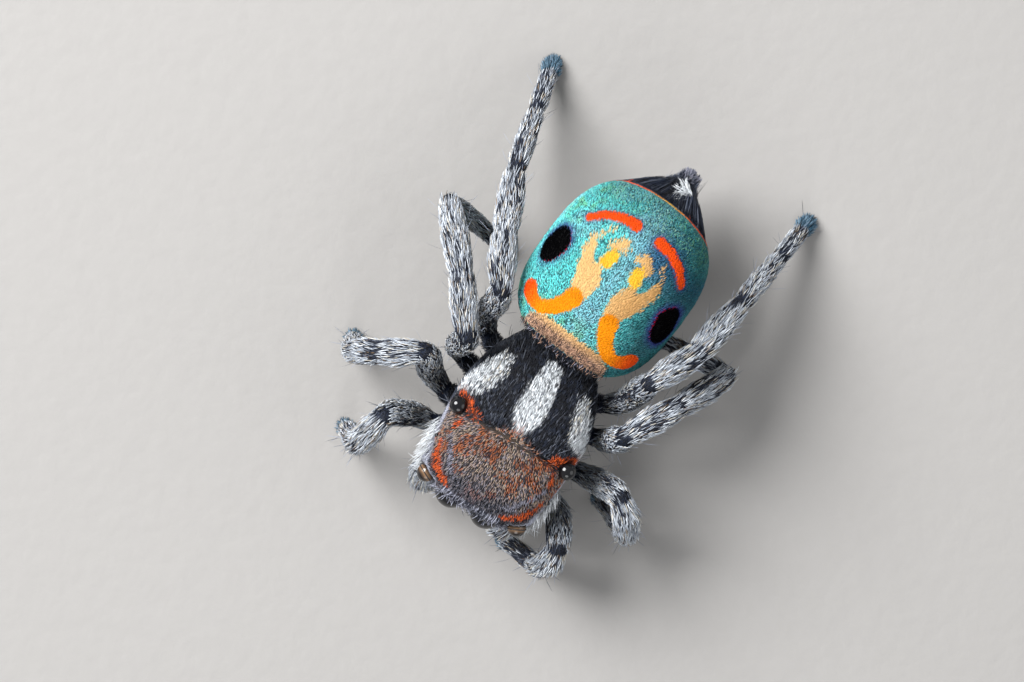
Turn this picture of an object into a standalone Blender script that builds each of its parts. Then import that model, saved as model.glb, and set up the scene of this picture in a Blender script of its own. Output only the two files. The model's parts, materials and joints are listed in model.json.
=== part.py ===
"""A life-size peacock spider, standing still on its eight feet and facing -Y, its left side towards +X.

Every size here is in millimetres. A mesh is shaped in millimetres and scaled to metres as it becomes an
object. The head is built about its own midline, on +Y from the face to the waist, and then turned by
HEAD_TURN. The abdomen is built upright and then leaned over, as the living spider carries it.
"""

import math

import bmesh
import bpy
import numpy as np
from mathutils import Matrix, Vector

METRES = 0.001
GAP = 0.08
UP = Vector((0, 0, 1))
SMOOTH_BELOW = math.radians(50)

# The waist, where the pedicel joins the two halves of the body, and how far the head is turned there
WAIST = Vector((0.10, -0.12, 0.95))
HEAD_TURN = math.radians(4.5)

# Carapace: distance behind the face, half width, top, widest height and underside
CARAPACE_LENGTH = 2.33
CARAPACE = (
    (0.00, 0.56, 1.72, 1.40, 1.06),
    (0.08, 0.71, 1.87, 1.42, 0.99),
    (0.35, 0.80, 1.98, 1.42, 0.90),
    (0.75, 0.84, 2.04, 1.40, 0.84),
    (1.10, 0.86, 2.03, 1.36, 0.80),
    (1.40, 0.83, 1.92, 1.30, 0.78),
    (1.70, 0.75, 1.70, 1.20, 0.78),
    (2.00, 0.59, 1.38, 1.08, 0.79),
    (2.20, 0.43, 1.14, 0.98, 0.81),
    (2.33, 0.27, 1.03, 0.94, 0.84),
)
CARAPACE_RINGS = 20
CARAPACE_SIDES = 28
CARAPACE_SQUARENESS = 2.7

# Underside of the head: breastplate, and the plate that the jaws hang from
STERNUM_CENTRE = Vector((0, 1.18, 0.74))
STERNUM_HALF = Vector((0.40, 0.72, 0.22))
JAW_PLATE_CENTRE = Vector((0, 0.18, 1.02))
JAW_PLATE_HALF = Vector((0.42, 0.20, 0.08))

# Eyes: distance behind the face, distance from the midline, height, radius
EYES = {
    "eye_anterior_median": (0.035, 0.245, 1.43, 0.215),
    "eye_anterior_lateral": (0.075, 0.640, 1.56, 0.115),
    "eye_posterior_lateral": (1.02, 0.765, 1.80, 0.100),
}
BEAD_EYE = (0.55, 0.760, 1.76, 0.040)
EYE_SEAT = 0.05

# Jaws and palps, from root to tip: distance behind the face, distance from the midline, height, radius
JAW = (
    (0.13, 0.205, 0.84, 0.150),
    (0.08, 0.205, 0.70, 0.160),
    (0.07, 0.195, 0.55, 0.130),
    (0.10, 0.180, 0.44, 0.085),
)
FANG = ((0.10, 0.19, 0.50, 0.050), (0.12, 0.15, 0.39, 0.040), (0.16, 0.08, 0.34, 0.020))
PALP_STUB = ((0.62, 0.34, 0.82, 0.110), (0.385, 0.515, 0.81, 0.105))
PALP = (
    (0.321, 0.563, 0.807, 0.100),
    (0.16, 0.64, 0.85, 0.115),
    (-0.02, 0.65, 0.86, 0.120),
    (-0.16, 0.60, 0.77, 0.130),
    (-0.20, 0.53, 0.60, 0.140),
    (-0.16, 0.47, 0.42, 0.085),
)

# Legs, front pair first. The root of each is the outer end of its coxa, in the frame of the head
ROOT_BEHIND_FACE = {1: 0.52, 2: 0.90, 3: 1.34, 4: 1.72}
ROOT_FROM_MIDLINE = {1: 0.72, 2: 0.82, 3: 0.84, 4: 0.74}
ROOT_HEIGHT = 0.62
COXA_INNER_BEHIND_FACE = {1: 0.80, 2: 1.00, 3: 1.20, 4: 1.42}
COXA_INNER_FROM_MIDLINE = 0.22
COXA_INNER_HEIGHT = 0.74
COXA_RADIUS = 0.135

# Lengths of femur, patella, tibia, metatarsus and tarsus in each pair
LENGTHS = {
    1: (1.04, 0.45, 0.55, 0.44, 0.36),
    2: (1.10, 0.50, 0.60, 0.48, 0.38),
    3: (1.18, 0.72, 0.98, 0.95, 0.64),
    4: (1.36, 0.66, 0.86, 0.94, 0.84),
}

# Pose: compass angle and slope of femur, patella and tibia, and the compass angle of the foot, in degrees.
# 0 points to the spider's left, 90 to its rear, -90 straight ahead
POSE = {
    ("right", 1): ((-167, 46), (-92, -10), (-85, -68), -170),
    ("right", 2): ((150, 49), (-142, -8), (-134, -44), -60),
    ("right", 3): ((128, 65), (131, -9), (137, -23), -12),
    ("right", 4): ((118, 55), (123, -9), (117, -30), 105),
    ("left", 1): ((-33, 52), (-86, -36), (-95, -76), -170),
    ("left", 2): ((18, 50), (-44, -22), (-48, -70), 172),
    ("left", 3): ((55, 67), (66, -4), (60, -40), -165),
    ("left", 4): ((71, 56), (68, -9), (81, -26), 80),
}

# Radius along each length, as (share of the length, radius)
FEMUR_SHAPE = ((0, 0.120), (0.20, 0.140), (0.45, 0.170), (0.72, 0.185), (1, 0.170))
PATELLA_SHAPE = ((0, 0.170), (0.55, 0.190), (1, 0.180))
TIBIA_SHAPE = ((0, 0.180), (0.35, 0.190), (0.65, 0.180), (1, 0.160))
METATARSUS_SHAPE = ((0, 0.155), (0.50, 0.155), (1, 0.145))
TARSUS_SHAPE = ((0, 0.145), (0.50, 0.140), (1, 0.120))
FEMUR_BOW = 0.13
LEG_SIDES = 10

# Abdomen, as level outlines: height, half width, front edge and rear edge
ABDOMEN = (
    (0.44, 0.24, 0.62, 1.30),
    (0.50, 0.44, 0.42, 1.56),
    (0.66, 0.67, 0.22, 1.78),
    (0.90, 0.82, 0.07, 1.88),
    (1.16, 0.90, -0.02, 1.94),
    (1.24, 0.96, -0.13, 2.03),
    (1.38, 0.99, -0.25, 2.06),
    (1.60, 0.96, -0.24, 2.02),
    (1.80, 0.86, -0.13, 1.90),
    (1.97, 0.70, 0.05, 1.71),
    (2.09, 0.49, 0.28, 1.46),
    (2.16, 0.26, 0.55, 1.18),
)
ABDOMEN_TOP = 2.18
ABDOMEN_BOTTOM = 0.42
ABDOMEN_SIDES = 36
FRONT_SQUARENESS = 3.0
REAR_SQUARENESS = 2.7

# How the abdomen is carried: moved from upright, leaned towards the spider's right, and raised at the rear
ABDOMEN_CENTRE = Vector((0, 0.90, 1.38))
ABDOMEN_SHIFT = Vector((0.062, -0.072, 0))
ABDOMEN_LEAN = math.radians(4.9)
ABDOMEN_RISE = math.radians(2.2)

# The stalk at the waist, from inside the abdomen, and the cone at its rear that carries the spinnerets
PEDICEL_START = Vector((0.05, 0.45, 1.02))
PEDICEL_RADIUS = 0.13
CONE_LENGTH = 0.45
CONE_DROP = 0.07
CONE_RADII = (0.50, 0.26)
CONE_SIDES = 20

# Spinnerets: the mound that they stand on, then each finger as offset sideways and up, length and radius
SPINNERET_ROOT = Vector((0.11, 2.03, 0.95))
MOUND = ((0.00, 0.21), (0.08, 0.22), (0.15, 0.17))
FINGER_START = 0.06
FINGER_TAPER = ((0, 1), (0.7, 0.85), (1, 0.5))
FINGER_CONVERGENCE = 0.6
FINGER_RISE = 0.1
FINGERS = (
    (-0.09, 0.04, 0.34, 0.065),
    (0.09, 0.04, 0.34, 0.065),
    (-0.08, -0.08, 0.27, 0.060),
    (0.08, -0.08, 0.27, 0.060),
    (0.0, 0.12, 0.22, 0.055),
)

COLOURS = {
    "carapace": ((0.19, 0.16, 0.14), 0.75, 0.0),
    "abdomen": ((0.08, 0.45, 0.47), 0.50, 0.2),
    "legs": ((0.25, 0.26, 0.28), 0.70, 0.0),
    "jaws": ((0.16, 0.13, 0.12), 0.50, 0.0),
    "eyes": ((0.01, 0.01, 0.012), 0.08, 0.0),
    "spinnerets": ((0.09, 0.10, 0.13), 0.65, 0.0),
}


def clear_scene():
    for old in list(bpy.data.objects):
        bpy.data.objects.remove(old, do_unlink=True)


def head_matrix():
    """Turns a point given as (to the left, behind the face, height) into the spider's own frame."""
    waist = Matrix.Translation((WAIST.x, WAIST.y, 0))
    turn = Matrix.Rotation(HEAD_TURN, 4, "Z")
    return waist @ turn @ Matrix.Translation((0, -CARAPACE_LENGTH, 0))


def smooth_rows(rows, count):
    """Rows read off a smooth curve through the given rows, evenly by their first column."""
    rows = np.array(rows, float)
    wanted = np.linspace(rows[0, 0], rows[-1, 0], count)
    slopes = np.gradient(rows, rows[:, 0], axis=0)
    found = np.clip(np.searchsorted(rows[:, 0], wanted, side="right") - 1, 0, len(rows) - 2)
    span = (rows[found + 1, 0] - rows[found, 0])[:, None]
    t = ((wanted - rows[found, 0])[:, None]) / span
    return (
        (2 * t**3 - 3 * t**2 + 1) * rows[found]
        + (t**3 - 2 * t**2 + t) * span * slopes[found]
        + (3 * t**2 - 2 * t**3) * rows[found + 1]
        + (t**3 - t**2) * span * slopes[found + 1]
    )


def squared_circle(sides, squareness):
    """Points of a circle of radius 1 drawn out towards its square."""
    for step in range(sides):
        angle = 2 * math.pi * step / sides
        x = math.copysign(abs(math.cos(angle)) ** (2 / squareness), math.cos(angle))
        y = math.copysign(abs(math.sin(angle)) ** (2 / squareness), math.sin(angle))
        yield x, y


def loft(rings):
    """A closed bmesh through rings of equally many points, flat at both ends."""
    bm = bmesh.new()
    rows = [[bm.verts.new(point) for point in ring] for ring in rings]
    for row, after in zip(rows, rows[1:]):
        for i in range(len(row)):
            j = (i + 1) % len(row)
            bm.faces.new((row[i], row[j], after[j], after[i]))
    bm.faces.new(rows[0])
    bm.faces.new(rows[-1])
    bmesh.ops.recalc_face_normals(bm, faces=bm.faces)
    return bm


def ellipsoid(centre, half, around=16, tiers=10):
    bm = bmesh.new()
    placed = Matrix.Translation(centre) @ Matrix.Diagonal((*half, 1))
    bmesh.ops.create_uvsphere(bm, u_segments=around, v_segments=tiers, radius=1, matrix=placed)
    return bm


def tube(points, radii, sides, level, start_cut=None, end_cut=None):
    """A tapered tube.

    level is a sideways vector that keeps the rings from twisting. A cut is the normal of the plane that an end
    is mitred to.
    """
    rings = []
    for i, (centre, radius) in enumerate(zip(points, radii)):
        before = (centre - points[i - 1]).normalized() if i else (points[1] - centre).normalized()
        after = (points[i + 1] - centre).normalized() if i + 1 < len(points) else before
        along = (before + after).normalized()
        across = (level - level.dot(along) * along).normalized()
        rise = across.cross(along)
        cut = start_cut if i == 0 else end_cut if i + 1 == len(points) else None
        ring = []
        for x, y in squared_circle(sides, 2):
            offset = radius * (x * across + y * rise)
            if cut is not None:
                offset -= along * (offset.dot(cut) / along.dot(cut))
            ring.append(centre + offset)
        rings.append(ring)
    return loft(rings)


def direction(compass, slope):
    compass, slope = math.radians(compass), math.radians(slope)
    flat = math.cos(slope)
    return Vector((flat * math.cos(compass), flat * math.sin(compass), math.sin(slope)))


def material(name):
    colour, roughness, metallic = COLOURS[name]
    made = bpy.data.materials.get(name) or bpy.data.materials.new(name)
    made.use_nodes = True
    shader = made.node_tree.nodes["Principled BSDF"]
    shader.inputs["Base Color"].default_value = (*colour, 1)
    shader.inputs["Roughness"].default_value = roughness
    shader.inputs["Metallic"].default_value = metallic
    return made


def as_object(name, bm):
    """A plain object in millimetres, for use in a Boolean."""
    mesh = bpy.data.meshes.new(name)
    bm.to_mesh(mesh)
    bm.free()
    made = bpy.data.objects.new(name, mesh)
    bpy.context.scene.collection.objects.link(made)
    return made


def combined(base, others, operation):
    """The base joined with the others, or cut by them, as a new bmesh. All of them are used up."""
    group = bpy.data.collections.new("others")
    bpy.context.scene.collection.children.link(group)
    for index, bm in enumerate(others):
        other = as_object(f"other_{index}", bm)
        bpy.context.scene.collection.objects.unlink(other)
        group.objects.link(other)
    body = as_object("body", base)
    boolean = body.modifiers.new("Join or cut", "BOOLEAN")
    boolean.operation = operation
    boolean.operand_type = "COLLECTION"
    boolean.collection = group
    boolean.solver = "EXACT"
    bpy.context.view_layer.update()
    evaluated = body.evaluated_get(bpy.context.evaluated_depsgraph_get())
    result = bmesh.new()
    result.from_mesh(evaluated.to_mesh())
    evaluated.to_mesh_clear()
    for used in [body, *group.objects]:
        bpy.data.objects.remove(used, do_unlink=True)
    bpy.data.collections.remove(group)
    keep_largest(result)
    return result


def keep_largest(bm):
    """Leaves the one closed surface that has the most faces."""
    left = set(bm.faces)
    surfaces = []
    while left:
        reached = [left.pop()]
        for face in reached:
            for edge in face.edges:
                for other in edge.link_faces:
                    if other in left:
                        left.remove(other)
                        reached.append(other)
        surfaces.append(reached)
    surfaces.sort(key=len, reverse=True)
    for scrap in surfaces[1:]:
        bmesh.ops.delete(bm, geom=scrap, context="FACES")


def node(name, bm, root, slot, parent):
    """The finished sub-part: scaled to metres, with its origin at its root."""
    bmesh.ops.translate(bm, verts=bm.verts, vec=-root)
    bmesh.ops.scale(bm, verts=bm.verts, vec=(METRES, METRES, METRES))
    mesh = bpy.data.meshes.new(name)
    bm.to_mesh(mesh)
    bm.free()
    mesh.shade_smooth()
    mesh.set_sharp_from_angle(angle=SMOOTH_BELOW)
    mesh.materials.append(material(slot))
    made = bpy.data.objects.new(name, mesh)
    made.location = root * METRES
    made.parent = parent
    bpy.context.scene.collection.objects.link(made)
    return made


def head_point(row, side, to_spider):
    """A point from (behind the face, from the midline, height) on one side: 1 is left, -1 right."""
    return to_spider @ Vector((side * row[1], row[0], row[2]))


def head_tube(rows, side, to_spider, sides=10):
    points = [head_point(row, side, to_spider) for row in rows]
    level = to_spider.to_3x3() @ Vector((1, 0.02, 0))
    return tube(points, [row[3] for row in rows], sides, level)


def carapace_rings(to_spider):
    for behind, half, top, widest, under in smooth_rows(CARAPACE, CARAPACE_RINGS):
        ring = []
        for x, z in squared_circle(CARAPACE_SIDES, CARAPACE_SQUARENESS):
            height = widest + z * ((top - widest) if z > 0 else (widest - under))
            ring.append(to_spider @ Vector((x * half, behind, height)))
        yield ring


def leg_root(side, pair, to_spider):
    return head_point((ROOT_BEHIND_FACE[pair], ROOT_FROM_MIDLINE[pair], ROOT_HEIGHT), side, to_spider)


def coxa_inner_end(side, pair, to_spider):
    inner = (COXA_INNER_BEHIND_FACE[pair], COXA_INNER_FROM_MIDLINE, COXA_INNER_HEIGHT)
    return head_point(inner, side, to_spider)


def coxa(side, pair, to_spider):
    points = [coxa_inner_end(side, pair, to_spider), leg_root(side, pair, to_spider)]
    return tube(points, [COXA_RADIUS, COXA_RADIUS], LEG_SIDES, UP)


def eye_centre(name, side, to_spider):
    return head_point(EYES[name][:3], side, to_spider)


def cephalothorax(to_spider, parent):
    shell = loft(list(carapace_rings(to_spider)))
    joined = [
        ellipsoid(STERNUM_CENTRE, STERNUM_HALF),
        ellipsoid(JAW_PLATE_CENTRE, JAW_PLATE_HALF),
    ]
    for piece in joined:
        bmesh.ops.transform(piece, matrix=to_spider, verts=piece.verts)
    for side in (-1, 1):
        joined.append(head_tube(PALP_STUB, side, to_spider))
        bead = head_point(BEAD_EYE[:3], side, to_spider)
        joined.append(ellipsoid(bead, (BEAD_EYE[3],) * 3, 10, 6))
        joined.extend(coxa(side, pair, to_spider) for pair in LENGTHS)
    body = combined(shell, joined, "UNION")
    seats = []
    for name, (_, _, _, radius) in EYES.items():
        for side in (-1, 1):
            seats.append(ellipsoid(eye_centre(name, side, to_spider), (radius + EYE_SEAT,) * 3))
    body = combined(body, seats, "DIFFERENCE")
    node("cephalothorax", body, WAIST, "carapace", parent)


def eyes(to_spider, parent):
    for name, (_, _, _, radius) in EYES.items():
        for side, word in ((-1, "right"), (1, "left")):
            centre = eye_centre(name, side, to_spider)
            node(f"{name}_{word}", ellipsoid(centre, (radius,) * 3), centre, "eyes", parent)


def jaws_and_palps(to_spider, parent):
    for side, word in ((-1, "right"), (1, "left")):
        jaw = combined(head_tube(JAW, side, to_spider), [head_tube(FANG, side, to_spider, 6)], "UNION")
        node(f"chelicera_{word}", jaw, head_point(JAW[0], side, to_spider), "jaws", parent)
        palp = head_tube(PALP, side, to_spider)
        node(f"palp_{word}", palp, head_point(PALP[0], side, to_spider), "legs", parent)


def leg_joints(side, word, pair, to_spider):
    """Root, knee, and the ends of patella, tibia, metatarsus and tarsus, with the last one on the floor."""
    joints = [leg_root(side, pair, to_spider)]
    *slants, foot_compass = POSE[word, pair]
    lengths = LENGTHS[pair]
    for (compass, slope), length in zip(slants, lengths):
        joints.append(joints[-1] + length * direction(compass, slope))
    foot = lengths[3] + lengths[4]
    slope = -math.degrees(math.asin(min(joints[-1].z / foot, 1)))
    for length in lengths[3:]:
        joints.append(joints[-1] + length * direction(foot_compass, slope))
    return joints


def shaped(start, end, shape, bow=Vector()):
    """Points and radii along one length, bowed by the given vector a third of the way along."""
    full = 1 / 3 * (2 / 3) ** 2
    points = [start.lerp(end, share) + share * (1 - share) ** 2 / full * bow for share, _ in shape]
    return points, [radius for _, radius in shape]


def leg(side, word, pair, to_spider, parent):
    joints = leg_joints(side, word, pair, to_spider)
    along = [(b - a).normalized() for a, b in zip(joints, joints[1:])]
    femur_way = direction(POSE[word, pair][0][0], 0)
    level = UP.cross(femur_way)
    half_gap = GAP / 2
    knee_cut = (along[0] + along[1]).normalized()
    ankle_cut = (along[2] + along[3]).normalized()

    outward = (to_spider.to_3x3() @ Vector((side, 0, 0)) - 0.6 * UP).normalized()
    root_cut = (joints[0] - coxa_inner_end(side, pair, to_spider)).normalized()
    first = joints[0] + GAP * root_cut
    points, radii = shaped(first, joints[1] - half_gap * along[0], FEMUR_SHAPE, FEMUR_BOW * outward)
    femur = tube(points, radii, LEG_SIDES, level, root_cut, knee_cut)
    node(f"leg_{word}_{pair}_femur", femur, joints[0], "legs", parent)

    points, radii = shaped(joints[1] + half_gap * along[1], joints[2], PATELLA_SHAPE)
    more = shaped(joints[2], joints[3] - half_gap * along[2], TIBIA_SHAPE)
    knee = tube(points + more[0][1:], radii + more[1][1:], LEG_SIDES, level, knee_cut, ankle_cut)
    node(f"leg_{word}_{pair}_knee", knee, joints[1], "legs", parent)

    points, radii = shaped(joints[3] + half_gap * along[3], joints[4], METATARSUS_SHAPE)
    more = shaped(joints[4], joints[5] + 0.2 * along[4], TARSUS_SHAPE)
    foot = tube(points + more[0][1:], radii + more[1][1:], LEG_SIDES, level, ankle_cut)
    everything = foot.verts[:] + foot.edges[:] + foot.faces[:]
    cut = bmesh.ops.bisect_plane(foot, geom=everything, plane_co=(0, 0, 0), plane_no=-UP, clear_outer=True)
    rim = [part for part in cut["geom_cut"] if isinstance(part, bmesh.types.BMEdge)]
    bmesh.ops.contextual_create(foot, geom=rim)
    bmesh.ops.recalc_face_normals(foot, faces=foot.faces)
    node(f"leg_{word}_{pair}_foot", foot, joints[3], "legs", parent)


def abdomen_matrix():
    """Carries the upright abdomen to its place in the spider's own frame."""
    lean = Matrix.Rotation(-ABDOMEN_LEAN, 4, "Y")
    rise = Matrix.Rotation(ABDOMEN_RISE, 4, "X")
    placed = Matrix.Translation(ABDOMEN_CENTRE + ABDOMEN_SHIFT)
    return placed @ rise @ lean @ Matrix.Translation(-ABDOMEN_CENTRE)


def abdomen_outline():
    """Points of a squared circle of radius 1 whose front is squarer than its rear."""
    front = squared_circle(ABDOMEN_SIDES, FRONT_SQUARENESS)
    rear = squared_circle(ABDOMEN_SIDES, REAR_SQUARENESS)
    return [ahead if ahead[1] < 0 else behind for ahead, behind in zip(front, rear)]


def abdomen(parent):
    rings = []
    for height, half, front, rear in ABDOMEN:
        middle, half_length = (front + rear) / 2, (rear - front) / 2
        rings.append([Vector((x * half, middle + y * half_length, height)) for x, y in abdomen_outline()])
    body = loft(rings)
    for height, ring in ((ABDOMEN_BOTTOM, ABDOMEN[0]), (ABDOMEN_TOP, ABDOMEN[-1])):
        lid = [face for face in body.faces if len(face.verts) == ABDOMEN_SIDES]
        lid = min(lid, key=lambda face: abs(face.calc_center_median().z - height))
        centre = Vector((0, (ring[2] + ring[3]) / 2, height))
        point = bmesh.ops.poke(body, faces=[lid])["verts"][0]
        point.co = centre
    bmesh.ops.transform(body, matrix=abdomen_matrix(), verts=body.verts)

    pedicel_end = WAIST + Vector((0, GAP, 0))
    waist_cut = direction(-90 + math.degrees(HEAD_TURN), 0)
    pedicel = tube([PEDICEL_START, pedicel_end], [PEDICEL_RADIUS] * 2, 12, UP, None, waist_cut)
    cone_end = SPINNERET_ROOT - Vector((0, GAP, 0))
    cone_start = SPINNERET_ROOT + Vector((0, -CONE_LENGTH, CONE_DROP))
    cone = tube([cone_start, cone_end], CONE_RADII, CONE_SIDES, UP, None, Vector((0, 1, 0)))
    node("abdomen", combined(body, [pedicel, cone], "UNION"), WAIST, "abdomen", parent)


def spinnerets(parent):
    rear = Vector((0, 1, 0))
    mound = tube([SPINNERET_ROOT + reach * rear for reach, _ in MOUND], [r for _, r in MOUND], 16, UP)
    fingers = []
    for sideways, up, length, radius in FINGERS:
        root = SPINNERET_ROOT + Vector((sideways, FINGER_START, up))
        way = Vector((-FINGER_CONVERGENCE * sideways, 1, FINGER_RISE)).normalized()
        points = [root + share * (length - FINGER_START) * way for share, _ in FINGER_TAPER]
        fingers.append(tube(points, [taper * radius for _, taper in FINGER_TAPER], 8, UP))
    node("spinnerets", combined(mound, fingers, "UNION"), SPINNERET_ROOT, "spinnerets", parent)


def main():
    clear_scene()
    parent = bpy.data.objects.new("peacock_spider", None)
    bpy.context.scene.collection.objects.link(parent)
    to_spider = head_matrix()
    cephalothorax(to_spider, parent)
    eyes(to_spider, parent)
    jaws_and_palps(to_spider, parent)
    for side, word in ((-1, "right"), (1, "left")):
        for pair in LENGTHS:
            leg(side, word, pair, to_spider, parent)
    abdomen(parent)
    spinnerets(parent)


main()
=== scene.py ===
"""Looks of a life-size peacock spider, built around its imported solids.

One skin lies over them, under a coat of scales and hairs. Eyes, jaws and claws are set in it, and the spider
stands on a plain floor, with lights and a camera. Places are in millimetres while they are worked out, and in
metres in the finished meshes. The spider faces -Y, with its left side towards +X. A place on the head is also
given as (from the midline, behind the face, height).
"""

import itertools
import json
import math

import bmesh
import bpy
import numpy as np
from bpy.props import FloatProperty, FloatVectorProperty, IntProperty, PointerProperty
from mathutils import Matrix, Vector
from mathutils.bvhtree import BVHTree
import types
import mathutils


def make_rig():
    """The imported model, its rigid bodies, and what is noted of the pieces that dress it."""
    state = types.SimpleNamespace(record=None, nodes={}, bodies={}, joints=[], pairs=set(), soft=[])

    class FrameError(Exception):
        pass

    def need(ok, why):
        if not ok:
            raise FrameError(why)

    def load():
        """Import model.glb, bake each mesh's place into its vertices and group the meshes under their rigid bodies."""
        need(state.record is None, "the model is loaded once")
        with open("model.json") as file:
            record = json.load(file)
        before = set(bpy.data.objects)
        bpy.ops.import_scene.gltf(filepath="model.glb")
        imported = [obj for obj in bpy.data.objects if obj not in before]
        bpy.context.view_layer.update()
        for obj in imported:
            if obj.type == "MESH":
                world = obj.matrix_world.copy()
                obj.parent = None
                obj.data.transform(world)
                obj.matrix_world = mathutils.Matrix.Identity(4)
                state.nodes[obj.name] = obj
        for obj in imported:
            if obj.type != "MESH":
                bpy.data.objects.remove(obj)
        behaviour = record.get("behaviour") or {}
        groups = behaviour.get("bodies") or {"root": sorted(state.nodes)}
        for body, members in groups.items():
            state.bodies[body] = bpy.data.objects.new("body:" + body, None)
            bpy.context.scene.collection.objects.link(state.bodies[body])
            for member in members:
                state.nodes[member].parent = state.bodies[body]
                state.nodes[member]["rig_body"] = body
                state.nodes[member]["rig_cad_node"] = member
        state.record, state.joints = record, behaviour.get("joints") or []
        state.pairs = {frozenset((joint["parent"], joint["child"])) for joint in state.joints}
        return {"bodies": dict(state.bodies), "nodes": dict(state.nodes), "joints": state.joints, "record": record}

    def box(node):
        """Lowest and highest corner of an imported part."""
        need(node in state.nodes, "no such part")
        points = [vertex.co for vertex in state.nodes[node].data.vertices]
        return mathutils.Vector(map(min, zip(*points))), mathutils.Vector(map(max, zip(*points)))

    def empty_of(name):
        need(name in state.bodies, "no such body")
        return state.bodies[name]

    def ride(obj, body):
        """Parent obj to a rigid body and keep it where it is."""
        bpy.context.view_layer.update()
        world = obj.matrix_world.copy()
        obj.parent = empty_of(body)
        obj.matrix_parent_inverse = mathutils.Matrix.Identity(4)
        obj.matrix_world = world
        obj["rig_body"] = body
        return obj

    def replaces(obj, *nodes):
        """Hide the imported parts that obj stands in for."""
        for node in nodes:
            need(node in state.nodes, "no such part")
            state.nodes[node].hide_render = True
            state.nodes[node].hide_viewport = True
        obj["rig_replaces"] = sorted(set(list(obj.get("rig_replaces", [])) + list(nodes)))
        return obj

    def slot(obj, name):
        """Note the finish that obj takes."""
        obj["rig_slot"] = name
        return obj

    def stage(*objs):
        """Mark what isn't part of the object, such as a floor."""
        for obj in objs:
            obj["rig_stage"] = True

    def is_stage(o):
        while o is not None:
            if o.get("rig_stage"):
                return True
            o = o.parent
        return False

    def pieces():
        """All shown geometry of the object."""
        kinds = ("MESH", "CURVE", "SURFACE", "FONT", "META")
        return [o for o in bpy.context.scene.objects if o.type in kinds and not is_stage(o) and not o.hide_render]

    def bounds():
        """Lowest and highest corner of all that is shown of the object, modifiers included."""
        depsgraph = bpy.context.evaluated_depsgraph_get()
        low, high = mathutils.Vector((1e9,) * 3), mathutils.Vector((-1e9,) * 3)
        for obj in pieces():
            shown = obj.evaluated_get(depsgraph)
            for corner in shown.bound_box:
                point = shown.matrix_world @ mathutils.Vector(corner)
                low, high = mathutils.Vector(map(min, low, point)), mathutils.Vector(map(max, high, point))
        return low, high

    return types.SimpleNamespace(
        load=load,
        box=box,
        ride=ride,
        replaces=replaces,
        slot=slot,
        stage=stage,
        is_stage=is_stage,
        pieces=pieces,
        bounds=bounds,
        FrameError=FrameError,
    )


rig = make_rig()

bl_info = {
    "name": "Peacock spider",
    "version": (1, 0, 0),
    "blender": (4, 5, 0),
    "location": "View3D > Sidebar > Spider",
    "description": "Skin, coat, eyes, jaws and claws of a life-size peacock spider, and its stage",
    "category": "Object",
}

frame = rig.load()
CAD_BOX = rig.bounds()

MM = 0.001
UP = np.array((0.0, 0.0, 1.0))
SIDES = ("left", "right")
PAIRS = (1, 2, 3, 4)
LEGS = [f"leg_{side}_{pair}" for side in SIDES for pair in PAIRS]
PALPS = [f"palp_{side}" for side in SIDES]
LEG_WORDS = ("femur", "knee", "foot")
EYE_KINDS = ("anterior_median", "anterior_lateral", "posterior_lateral")
EYES = [f"eye_{kind}_{side}" for kind in EYE_KINDS for side in SIDES]
BODIES = ("cephalothorax", "abdomen", "spinnerets")

# What the skin belongs to, as its "region"
HEAD, ABDOMEN, SPINNERETS, PALP, LEG = range(5)

# Share of its solid that is patella in each pair of legs, and share of the foot that is metatarsus
PATELLA_SHARE = {1: 0.45, 2: 0.455, 3: 0.424, 4: 0.434}
METATARSUS_SHARE = {1: 0.55, 2: 0.558, 3: 0.597, 4: 0.528}

# Radius of the skin along a leg. Marks count the lengths: 0 body, 1 knee, 2 to 4 the next joints, 5 tip
LEG_SHAPE = (
    (-0.2, 0.090), (0.0, 0.098), (0.15, 0.115), (0.50, 0.145), (0.85, 0.150), (1.0, 0.118),
    (1.12, 0.128), (1.50, 0.155), (1.85, 0.148), (2.0, 0.124), (2.15, 0.142), (2.50, 0.153), (2.85, 0.134),
    (3.0, 0.106), (3.15, 0.113), (3.50, 0.118), (3.90, 0.104), (4.0, 0.092), (4.15, 0.100), (4.60, 0.098),
    (4.93, 0.072),
)
PAD_START = 4.72
CLAW_MARK = 4.86

# Radii of the skin round a palp, the waist and the tail, where beads bridge the gaps between the solids
PALP_RADIUS = 0.13
WAIST_RADIUS = 0.12
TAIL_RADIUS = 0.19
BRIDGE_STEPS = (-0.06, -0.03, 0, 0.03, 0.06)

# How far behind the middle of each eye its socket lies
EYE_SINK = 0.07

# Head, in its own places. Half of each marking, as the side that it is on doesn't matter
STRIPE_PATH = ((0.0, 1.25, 0.14), (0.0, 1.36, 0.185), (0.0, 1.62, 0.165), (0.0, 1.91, 0.105))
SIDE_PATCH_PATH = ((0.84, 1.20, 0.10), (0.72, 1.38, 0.190), (0.66, 1.53, 0.180), (0.57, 1.72, 0.105))
BAND_START = 1.03
PARTING = 1.02
EYE_ORANGE_PATH = ((0.50, 1.03, 0.02), (0.62, 1.05, 0.042), (0.72, 1.13, 0.045), (0.82, 1.10, 0.03))
EYE_FRONT_PATH = ((0.63, 0.93, 0.035), (0.67, 0.81, 0.040))
MARGIN_ORANGE_PATH = (
    (0.715, 0.56, 0.025),
    (0.690, 0.40, 0.055),
    (0.580, 0.25, 0.058),
    (0.440, 0.17, 0.050),
    (0.340, 0.12, 0.025),
)
MARGIN_PALE_PATH = ((0.66, 0.70, 0.030), (0.57, 0.53, 0.038), (0.44, 0.34, 0.035), (0.30, 0.26, 0.02))

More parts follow.
